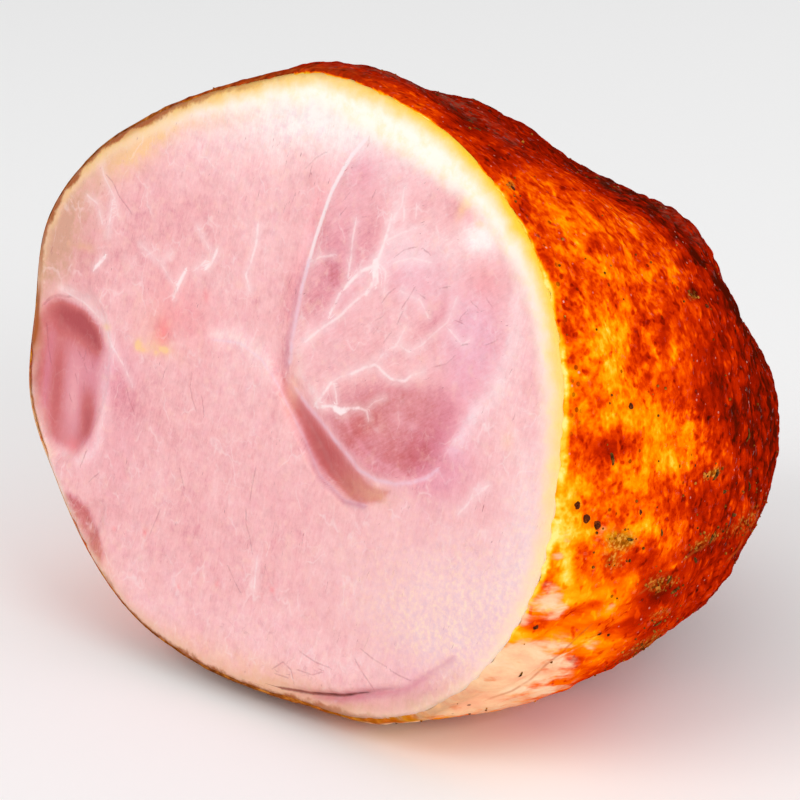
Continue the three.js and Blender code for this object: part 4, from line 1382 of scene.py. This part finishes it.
round_angle = uneven_angles(RIND_ROUND)
circle = np.stack([np.cos(np.radians(round_angle)), np.sin(np.radians(round_angle)), 0 * round_angle], -1)
circle *= np.mean(RIM_RADII)
ragged_lip = 0.5 + lumpy(circle, 3.0, 21) + 0.8 * lumpy(circle, 9.0, 22)
ragged_lip = SKIN + LIP_RAGGED * ragged_lip.clip(0, 1.5)
lip_rise = LIP_RISE * (1 - 0.85 * bell(turn(FLUSH_LIP_AT, round_angle) / FLUSH_LIP_HALF))
outer_rows = []
outer_shares = []
for k in range(LIP_ROWS):
    start = np.arcsin(1 - ragged_lip / EDGE_ROUNDING)
    around = start + (math.pi / 2 - start) * k / LIP_ROWS
    reach = EDGE_ROUNDING + (lip_rise if k else -LIP_SUNK * lip_rise / LIP_RISE)
    outer_shares.append((EDGE_ROUNDING - reach * np.cos(around)) / LENGTH)
    outer_rows.append(side_points(round_angle, outer_shares[-1], EDGE_ROUNDING - reach * np.sin(around)))
for share in even_shares(RIND_ROWS, EDGE_ROUNDING / LENGTH)[:-1]:
    outer_shares.append(share + 0 * round_angle)
    outer_rows.append(side_points(round_angle, outer_shares[-1], -lip_rise))
outer = np.array(outer_rows)
shares = np.array(outer_shares)
rows = len(outer)


def grid_normals(grid):
    """The way that each point of a grid of rings faces."""
    round_way = np.roll(grid, -1, axis=1) - np.roll(grid, 1, axis=1)
    along_way = np.gradient(grid, axis=0)
    facing = np.cross(along_way, round_way)
    return facing / np.maximum(np.linalg.norm(facing, axis=-1, keepdims=True), 1e-9)


facing = grid_normals(outer)
angles = np.broadcast_to(round_angle, shares.shape)
along_mm = shares * LENGTH
angle_up = turn(0, angles)
wrinkled = 0.4 + 0.6 * smooth(*WRINKLED_FROM, angle_up) * (1 - smooth(*WRINKLED_TO, angle_up))
wrinkled *= smooth(*WRINKLES_START, along_mm)
raised = 0 * shares
for size, rise, seed in RIND_RELIEF:
    raised += rise * lumpy(outer, size, seed)
cell_noise = []
for place in (outer / np.array([CELL_SIZE, CELL_SIZE, CELL_SIZE * 1.4])).reshape(-1, 3).tolist():
    distances, _ = noise.voronoi(place)
    cell_noise.append(distances[1] - distances[0])
cells = np.array(cell_noise).reshape(shares.shape)
raised += wrinkled * CELL_RISE * (smooth(0, 0.5, cells) - 0.6)
raised *= smooth(0, 4, along_mm)
outer = outer + raised[..., None] * facing
outer[..., 2] = np.maximum(outer[..., 2], 0)
outer_facing = grid_normals(outer)

inner_shares = np.concatenate([[0.6], np.linspace(6, LENGTH - 7, INNER_ROWS)]) / LENGTH
inner_insets = [SKIN] + [INNER_INSET] * INNER_ROWS
inner_rows = []
for share, inset in zip(inner_shares[::-1], inner_insets[::-1]):
    inner_rows.append(side_points(round_angle, share + 0 * round_angle, inset))
inner = np.array(inner_rows)
inner_tip = inner[0].mean(0)
outer_tip = outer[-1].mean(0) + np.array([0, 0.4, 0])
rings = np.concatenate([inner, outer])
numbers = np.arange(rings.shape[0] * RIND_ROUND).reshape(rings.shape[0], RIND_ROUND)
following = np.roll(numbers, -1, axis=1)
rind_quads = np.stack([numbers[:-1], numbers[1:], following[1:], following[:-1]], -1).reshape(-1, 4).tolist()
rind_points = np.concatenate([rings.reshape(-1, 3), [inner_tip], [outer_tip]])
first_tip, last_tip = len(rind_points) - 2, len(rind_points) - 1
caps = [(first_tip, int(a), int(b)) for a, b in zip(numbers[0], following[0])]
caps += [(last_tip, int(b), int(a)) for a, b in zip(numbers[-1], following[-1])]

roast_rows = [ring_value(values, angles) for values in ROAST]
roast = roast_rows[0]
for (low, high), (lower, higher) in zip(zip(ROAST_AT, ROAST_AT[1:]), zip(roast_rows, roast_rows[1:])):
    roast = roast + (higher - lower) * np.clip((along_mm - low) / (high - low), 0, 1)


def in_view(px, py):
    """A place in the photograph, in millimetres across and up the view from its middle."""
    return (px - PHOTO_SIDE / 2) * MILLIMETRES_PER_PIXEL, (PHOTO_SIDE / 2 - py) * MILLIMETRES_PER_PIXEL


from_camera = outer - camera_place
depth = -(from_camera @ back)
seen_across = from_camera @ right / depth * CAMERA_DISTANCE
seen_up = from_camera @ up / depth * CAMERA_DISTANCE
sight = from_camera / np.linalg.norm(from_camera, axis=-1, keepdims=True)
in_sight = smooth(-0.05, 0.08, -(facing * sight).sum(-1))


def rind_patches(listed):
    """The sum of soft patches on the part of the rind that the camera sees."""
    return patches(listed, seen_across, seen_up, in_view) * in_sight


roast += rind_patches(MORE_ROASTED) - rind_patches(LESS_ROASTED)
lip_width = ring_value(YELLOW_LIP, angles) * (1 + 0.9 * lumpy(outer, 7, 31))
roast = YELLOW + (roast - YELLOW) * smooth(0.3, 1, along_mm / np.maximum(lip_width, 0.3))
folded = stretch_of(angle_up, *FOLDED_ROUND) * (1 - smooth(*FOLDS_END, along_mm))
spotted = stretch_of(angle_up, *SPOTTED_ROUND) * bell((along_mm - SPOTS_ALONG) / SPOTS_HALF)
tucked_under = bell(turn(TUCKED_AT, angles) / TUCKED_HALF) * (1 - smooth(*TUCKED_END, along_mm))
pink_lip = bell(turn(PINK_LIP_AT, angles) / PINK_LIP_HALF) * (1 - smooth(*PINK_LIP_END, along_mm))
crease_paths = [([in_view(*place) for place in path], half_width) for path, half_width in RIND_CREASES]
umber_share = along_mm / ring_value(UMBER_REACH, angles)
umber = ring_value(UMBER_LIP, angles) * (1 - smooth(0.5, 1.5, umber_share))


def placed_along(tree, name, moved):
    """A place stored for each point, moved so that a second pattern falls elsewhere."""
    place = make(tree, "ShaderNodeAttribute", attribute_name=name).outputs["Vector"]
    return make(tree, "ShaderNodeVectorMath", {0: place, 1: (moved,) * 3}, operation="ADD").outputs[0]


rind, tree, shader = new_material("smoked_rind")
skin = placed(tree)
lengthwise = placed_along(tree, "lengthwise", 0)
fold = stored(tree, "folded")
browned = stored(tree, "roast")
calm = soft_step(tree, browned, 0.56, 0.78, 1, 0.5)
for size, share, folded_share in BLOT_SIZES:
    round_blots = soft_step(tree, mottle(tree, skin, size, 2, 0.55), 0.3, 0.7, -share / 2, share / 2)
    long_blots = mottle(tree, lengthwise, size, 2, 0.5)
    long_blots = soft_step(tree, long_blots, 0.3, 0.7, -folded_share / 2, folded_share / 2)
    blots = mixed(tree, fold, round_blots, long_blots)
    browned = calc(tree, "MULTIPLY_ADD", blots, calm, browned)
# golden flecks, painted highlights of the oily skin, and dark ones
golden_highlight_flecks = mottle(tree, placed(tree, (1.3, 1, 1.5), moved=1), 2.4, 1, 0.5)
browned = calc(tree, "SUBTRACT", browned, soft_step(tree, golden_highlight_flecks, 0.58, 0.74, 0, 0.12))
spots = mottle(tree, placed(tree, moved=2), 2.6, 1, 0.5)
browned = plus(tree, browned, soft_step(tree, spots, 0.6, 0.74, 0, 0.14))
crease = soft_step(tree, stored(tree, "cells"), 0.0, 0.35, 1, 0)
crease = times(tree, crease, stored(tree, "wrinkled"))
browned = plus(tree, browned, times(tree, crease, 0.12))
colour = ramp(tree, browned, ROAST_COLOURS)
# pale skin, in streaks along the ham, with a few thin red ones
streaked = mottle(tree, lengthwise, 3, 3, 0.6)
pale = stored(tree, "peach")
near_pale = calc(tree, "MULTIPLY", pale, 3, clamp=True)
unevenly = times(tree, calc(tree, "MULTIPLY_ADD", streaked, 2.4, -1.25), near_pale)
peach = soft_step(tree, plus(tree, pale, unevenly), 0.15, 0.85, 0, 0.95)
colour = blend(tree, peach, colour, ramp(tree, mottle(tree, lengthwise, 5, 4, 0.6), PEACH_COLOURS))
red_streak = mottle(tree, placed_along(tree, "lengthwise", 40), 2.2, 2, 0.5)
red_streak = times(tree, soft_step(tree, red_streak, 0.6, 0.72, 0, 0.6), peach)
colour = blend(tree, red_streak, colour, paint(*RED_STREAK_COLOUR))
speckle = mottle(tree, skin, 1.3, 3, 0.6)
stain = plus(tree, stored(tree, "herb_stain"), calc(tree, "MULTIPLY_ADD", speckle, 0.8, -0.4))
stain = soft_step(tree, stain, 0.2, 0.8, 0, 0.85)
colour = blend(tree, stain, colour, ramp(tree, speckle, HERB_STAIN_COLOURS))
# painted sheen: grey-brown strips along the top of the skin
sheen_mottle = soft_step(tree, mottle(tree, placed(tree, moved=8), 2.6, 4, 0.7), 0.44, 0.62, 0, 0.7)
colour = blend(tree, times(tree, stored(tree, "greyed_and_sheen"), sheen_mottle), colour, paint(*SHEEN_COLOUR))
umber_colour = ramp(tree, mottle(tree, skin, 2.4, 3), UMBER_COLOURS)
colour = blend(tree, stored(tree, "umber"), colour, umber_colour)
fine_crease = soft_step(tree, line_off(tree, "crease"), -0.1, 0.5, 0.55, 0)
fine_crease = times(tree, fine_crease, stored(tree, "shown"))
fine_crease = times(tree, fine_crease, soft_step(tree, streaked, 0.4, 0.55, 0.4, 1))
colour = blend(tree, fine_crease, colour, paint(*SKIN_CREASE_COLOUR))


def dots(tree, where, size, radius, kept):
    """1 in small round dots, one in each of some cells of about so many millimetres, and 0 between."""
    net = make(tree, "ShaderNodeTexVoronoi", {"Vector": where, "Scale": 1 / size}, feature="F1")
    chance = make(tree, "ShaderNodeSeparateColor", {0: net.outputs["Color"]}).outputs[0]
    dot = soft_step(tree, net.outputs["Distance"], radius / size * 0.6, radius / size, 1, 0)
    return times(tree, dot, calc(tree, "LESS_THAN", chance, kept))


holes = dots(tree, skin, 5, 0.7, 0.3)
pits = times(tree, dots(tree, placed(tree, moved=6), 2.4, 0.85, 0.6), stored(tree, "spotted"))
holes = calc(tree, "MAXIMUM", holes, pits)
colour = blend(tree, times(tree, holes, 0.7), colour, paint(*HOLE_COLOUR))
glints = dots(tree, placed(tree, moved=3), 2.8, 0.42, 0.3)
shine = calc(tree, "MAXIMUM", soft_step(tree, browned, 0.5, 0.75, 0, 0.45), stored(tree, "spotted"))
colour = blend(tree, times(tree, glints, shine), colour, paint(*GLINT_COLOUR))
tree.links.new(colour, shader.inputs["Base Color"])
bumps = plus(tree, mottle(tree, skin, 1.6, 3, 0.6), times(tree, holes, -0.5))
roughen(tree, shader, 0.5, 0.9, bumps)
shader.inputs["Roughness"].default_value = 0.5
shader.inputs["Specular IOR Level"].default_value = 0
wet = soft_step(tree, mottle(tree, placed(tree, moved=4), 2.4, 1), 0.64, 0.78, 0, 0.3)
tree.links.new(wet, shader.inputs["Coat Weight"])
shader.inputs["Coat Roughness"].default_value = 0.15

ham_rind = new_piece("ham_rind", rind_points, rind_quads + caps, rind)


def mark_rind(name, values, inside=0.0):
    """Stores a number for each point of the rind's outside, and one for its inside and tips."""
    tips = [inside, float(np.mean(values[-1]))]
    inner_values = np.full(inner.shape[0] * RIND_ROUND, inside)
    mark(ham_rind, name, np.concatenate([inner_values, values.ravel(), tips]))


mark_rind("roast", roast, 0.1)
mark_rind("peach", rind_patches(PEACH) + TUCKED_PALENESS * tucked_under * (1 - in_sight) + pink_lip)
mark_rind("herb_stain", rind_patches(HERB_STAINED))
mark_rind("greyed_and_sheen", rind_patches(PAINTED_SHEEN_STRIPS))
mark_rind("umber", umber)
mark_rind("shown", in_sight)
for name, values in line_marks("crease", crease_paths, seen_across, seen_up).items():
    mark_rind(name, values, 99)
mark_rind("cells", cells, 1)
mark_rind("wrinkled", wrinkled)
mark_rind("folded", folded)
round_place = [STREAK_RADIUS * np.cos(np.radians(angles)), STREAK_RADIUS * np.sin(np.radians(angles))]
streak_place = np.stack([*round_place, along_mm / STREAK_STRETCH], -1).reshape(-1, 3)
unseen = np.zeros((inner.shape[0] * RIND_ROUND, 3))
streak_place = np.concatenate([unseen, streak_place, np.zeros((2, 3))])
layer = ham_rind.data.attributes.new("lengthwise", "FLOAT_VECTOR", "POINT")
layer.data.foreach_set("vector", streak_place.astype(np.float32).ravel())
mark_rind("spotted", spotted)
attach(ham_rind, "root")
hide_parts("ham")

# Peppercorns
# Whole black peppercorns pressed into the rind before it was smoked, each partly sunk in the skin.
# They lie mostly along the right of the cut, where the photograph shows them.

# Each one: degrees round, millimetres along, and its size against a full one
PEPPERCORNS = [
    (354, 7, 0.9), (352, 11, 1.1), (351, 15, 0.95), (335, 5, 0.75), (333, 31, 0.7), (332, 37, 0.6),
    (7, 25, 0.8), (352, 30, 0.6), (352, 37, 0.5), (44, 5, 0.7), (23, 29, 0.5), (22, 64, 0.5),
    (20, 71, 0.6), (12, 56, 0.45), (8, 47, 0.4), (356, 57, 0.6),
]
MORE_PEPPERCORNS = 12
FIRST_MORE_PEPPERCORN = 1
PEPPERCORN_RADIUS = 1.35
PEPPERCORN_SUNK = 0.55
PEPPERCORN_ROUGHNESS = 0.5
# The size of the spots in millimetres, how detailed and how rough they are
PEPPER_MOTTLING = (0.7, 4, 0.6)
PEPPER_RELIEF = 0.2
PEPPER_COLOURS = [(0.32, (50, 18, 4)), (0.55, (94, 38, 8)), (0.74, (160, 78, 24))]
GOLDEN_ANGLE = 137.508
GOLDEN_SHARE = 0.618034
SPREAD_FROM = 60
SPREAD_ANGLE = 170
SPREAD_START = 0.1
SPREAD_REACH = 0.78
WRINKLE_SIZE = 1.2
SPICE_GLOSS = 0.04


def spread_places(count, first):
    """Places on the part of the rind away from the listed spices, spread by the golden section."""
    places = []
    for k in range(count):
        angle = SPREAD_FROM + ((k + first) * GOLDEN_ANGLE) % SPREAD_ANGLE
        share = SPREAD_START + SPREAD_REACH * (((k + first) * GOLDEN_SHARE) % 1)
        places.append((angle, LENGTH * share, 0.6 + 0.4 * (k % 3) / 2))
    return places


def rind_places(listed):
    """Points on the rind for some places, and the way that the rind faces there."""
    points = []
    ways = []
    for angle, along, _ in listed:
        column = int(np.argmin(np.abs(turn(angle, round_angle))))
        row = int(np.argmin(np.abs(along_mm[:, column] - along)))
        points.append(outer[row, column])
        ways.append(outer_facing[row, column])
    return np.array(points), np.array(ways)


def scattered(name, listed, shape_maker, material, sunk, roughness):
    """A piece made of copies of one shape, laid on the rind at the listed places and sizes."""
    points, ways = rind_places(listed)
    seats = bpy.data.meshes.new(name)
    seats.from_pydata((points * MM).tolist(), [], [])
    layer = seats.attributes.new("outwards", "FLOAT_VECTOR", "POINT")
    layer.data.foreach_set("vector", ways.astype(np.float32).ravel())
    layer = seats.attributes.new("size", "FLOAT", "POINT")
    layer.data.foreach_set("value", [size for _, _, size in listed])
    piece = bpy.data.objects.new(name, seats)
    bpy.context.scene.collection.objects.link(piece)
    tree = bpy.data.node_groups.new(name, "GeometryNodeTree")
    tree.interface.new_socket("Geometry", in_out="INPUT", socket_type="NodeSocketGeometry")
    depth = tree.interface.new_socket("Depth", in_out="INPUT", socket_type="NodeSocketFloat")
    rise = tree.interface.new_socket("Roughness", in_out="INPUT", socket_type="NodeSocketFloat")
    tree.interface.new_socket("Geometry", in_out="OUTPUT", socket_type="NodeSocketGeometry")
    given = make(tree, "NodeGroupInput").outputs
    shape = shape_maker(tree)
    outwards = make(tree, "GeometryNodeInputNamedAttribute", {"Name": "outwards"}, data_type="FLOAT_VECTOR")
    index = make(tree, "GeometryNodeInputIndex").outputs[0]
    spin = times(tree, index, math.radians(GOLDEN_ANGLE))
    spin = make(tree, "ShaderNodeCombineXYZ", {"Z": spin}).outputs[0]
    spin = make(tree, "FunctionNodeEulerToRotation", {0: spin}).outputs[0]
    facing_out = make(tree, "FunctionNodeAlignRotationToVector", {"Vector": outwards.outputs[0]}, axis="Z")
    feeds = {"Rotation": facing_out.outputs[0], "Rotate By": spin}
    way = make(tree, "FunctionNodeRotateRotation", feeds, rotation_space="LOCAL").outputs[0]
    lift = make(tree, "ShaderNodeVectorMath", {0: outwards.outputs[0]}, operation="SCALE")
    tree.links.new(times(tree, given[1], -1), lift.inputs["Scale"])
    seated = make(tree, "GeometryNodeSetPosition", {"Geometry": given[0], "Offset": lift.outputs[0]})
    sizes = make(tree, "GeometryNodeInputNamedAttribute", {"Name": "size"}, data_type="FLOAT").outputs[0]
    feeds = {"Points": seated.outputs[0], "Instance": shape, "Rotation": way, "Scale": sizes}
    laid = make(tree, "GeometryNodeInstanceOnPoints", feeds).outputs[0]
    real = make(tree, "GeometryNodeRealizeInstances", {"Geometry": laid}).outputs[0]
    rough = wrinkle(tree, real, WRINKLE_SIZE, given[2])
    done = make(tree, "GeometryNodeSetMaterial", {"Geometry": rough, "Material": material}).outputs[0]
    smooth_shade = make(tree, "GeometryNodeSetShadeSmooth", {"Geometry": done}).outputs[0]
    make(tree, "NodeGroupOutput", {0: smooth_shade})
    modifier = piece.modifiers.new(name, "NODES")
    modifier.node_group = tree
    modifier[depth.identifier] = sunk * MM
    modifier[rise.identifier] = roughness * MM
    return as_plain_mesh(piece, material)


def wrinkle(tree, geometry, size, rise):
    """Moves each point by noise in lumps of so many millimetres, as far as the rise in metres."""
    place = make(tree, "GeometryNodeInputPosition").outputs[0]
    grain = make(tree, "ShaderNodeTexNoise", {"Vector": place, "Scale": 1000 / size, "Detail": 2.0})
    feeds = {0: grain.outputs["Color"], 1: (0.5,) * 3}
    centred = make(tree, "ShaderNodeVectorMath", feeds, operation="SUBTRACT").outputs[0]
    shift = make(tree, "ShaderNodeVectorMath", {0: centred}, operation="SCALE")
    tree.links.new(times(tree, rise, 2), shift.inputs["Scale"])
    feeds = {"Geometry": geometry, "Offset": shift.outputs[0]}
    return make(tree, "GeometryNodeSetPosition", feeds).outputs[0]


def as_plain_mesh(piece, material):
    """Turns what a piece's modifiers make into its own mesh."""
    evaluated = piece.evaluated_get(bpy.context.evaluated_depsgraph_get())
    finished = bpy.data.meshes.new_from_object(evaluated)
    piece.modifiers.clear()
    piece.data = finished
    if not finished.materials:
        finished.materials.append(material)
    return piece


def ball(tree, radius, rounds):
    """A ball so many millimetres in radius, its faces split so many times."""
    return make(tree, "GeometryNodeMeshIcoSphere", {"Radius": radius * MM, "Subdivisions": rounds}).outputs[0]


def peppercorn_shape(tree):
    return ball(tree, PEPPERCORN_RADIUS, 4)


def spice_material(name, mottling, colours, dullness, relief=0):
    """A dry dull material, mottled in its colours, and rough by so many millimetres."""
    material, tree, shader = new_material(name)
    mottled = mottle(tree, placed(tree), *mottling)
    tree.links.new(ramp(tree, mottled, colours), shader.inputs["Base Color"])
    shader.inputs["Specular IOR Level"].default_value = SPICE_GLOSS
    shader.inputs["Roughness"].default_value = dullness
    if relief:
        roughen(tree, shader, 0.5, relief, mottled)
    return material


black_pepper = spice_material("black_pepper", PEPPER_MOTTLING, PEPPER_COLOURS, 0.5, PEPPER_RELIEF)
pepper_places = PEPPERCORNS + spread_places(MORE_PEPPERCORNS, FIRST_MORE_PEPPERCORN)
peppercorns = scattered(
    "peppercorns", pepper_places, peppercorn_shape, black_pepper, PEPPERCORN_SUNK, PEPPERCORN_ROUGHNESS
)
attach(peppercorns, "root")
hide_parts("ham")

# Herb flakes
# Dried leaves of rosemary and savory, a few millimetres long, stuck flat to the rind.
HERBS = [
    (0, 18, 0.9), (354, 69, 1), (351, 75, 0.9), (348, 28, 0.8), (344, 73, 0.9), (340, 53, 0.8),
    (338, 58, 1), (341, 67, 1.1), (348, 42, 0.6), (326, 12, 0.6), (332, 59, 0.9), (346, 86, 0.9),
    (349, 97, 0.8), (358, 93, 0.9),
]
MORE_HERBS = 8
FIRST_MORE_HERB = 40
HERB_SIZE = (4.8, 1.1, 0.6)
HERB_CURL = 0.12
HERB_SUNK = -0.15
HERB_ROUGHNESS = 0.35
HERB_MOTTLING = (1.0, 3, 0.6)
HERB_COLOURS = [(0.3, (54, 26, 6)), (0.5, (92, 54, 12)), (0.7, (134, 92, 28))]


def herb_shape(tree):
    """A flat pointed leaf, curled along its length."""
    feeds = {"Geometry": ball(tree, 0.5, 4), "Scale": HERB_SIZE}
    leaf = make(tree, "GeometryNodeTransform", feeds).outputs[0]
    place = make(tree, "ShaderNodeSeparateXYZ", {0: make(tree, "GeometryNodeInputPosition").outputs[0]})
    squared = times(tree, place.outputs[0], place.outputs[0])
    drop = times(tree, squared, -HERB_CURL / MM)
    offset = make(tree, "ShaderNodeCombineXYZ", {"Z": drop}).outputs[0]
    return make(tree, "GeometryNodeSetPosition", {"Geometry": leaf, "Offset": offset}).outputs[0]


dried_herb = spice_material("dried_herb", HERB_MOTTLING, HERB_COLOURS, 0.6)
herb_places = HERBS + spread_places(MORE_HERBS, FIRST_MORE_HERB)
herb_flakes = scattered("herb_flakes", herb_places, herb_shape, dried_herb, HERB_SUNK, HERB_ROUGHNESS)
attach(herb_flakes, "root")
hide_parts("ham")

# Spice crumbs
# Broken pepper and herb dust, under a millimetre, caught in the skin, thickest where the herbs lie.
CRUMB_COUNT = 420
CRUMB_SEED = 5
CRUMB_RADIUS = 0.5
CRUMB_SIZES = (0.35, 1)
CRUMB_SUNK = -0.05
CRUMB_ROUGHNESS = 0.15
CRUMBS_ELSEWHERE = 0.012
LIP_CRUMB_FREE = 2
CRUMB_LOWEST = 3
CRUMB_MOTTLING = (2.0, 2, 0.5)
CRUMB_COLOURS = [(0.34, (70, 30, 6)), (0.52, (136, 76, 16)), (0.66, (200, 130, 44))]


def crumb_places():
    """Random places on the rind, most of them on its herb stains."""
    chooser = np.random.default_rng(CRUMB_SEED)
    liking = CRUMBS_ELSEWHERE + rind_patches(HERB_STAINED).clip(0, 1)
    liking = (liking * (along_mm > LIP_CRUMB_FREE) * (outer[..., 2] > CRUMB_LOWEST)).ravel()
    chosen = chooser.choice(liking.size, CRUMB_COUNT, replace=False, p=liking / liking.sum())
    sizes = chooser.uniform(*CRUMB_SIZES, CRUMB_COUNT)
    return list(zip(angles.ravel()[chosen], along_mm.ravel()[chosen], sizes))


def crumb_shape(tree):
    return ball(tree, CRUMB_RADIUS, 2)


spice_dust = spice_material("spice_dust", CRUMB_MOTTLING, CRUMB_COLOURS, 0.7)
spice_crumbs = scattered(
    "spice_crumbs", crumb_places(), crumb_shape, spice_dust, CRUMB_SUNK, CRUMB_ROUGHNESS
)
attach(spice_crumbs, "root")
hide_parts("ham")
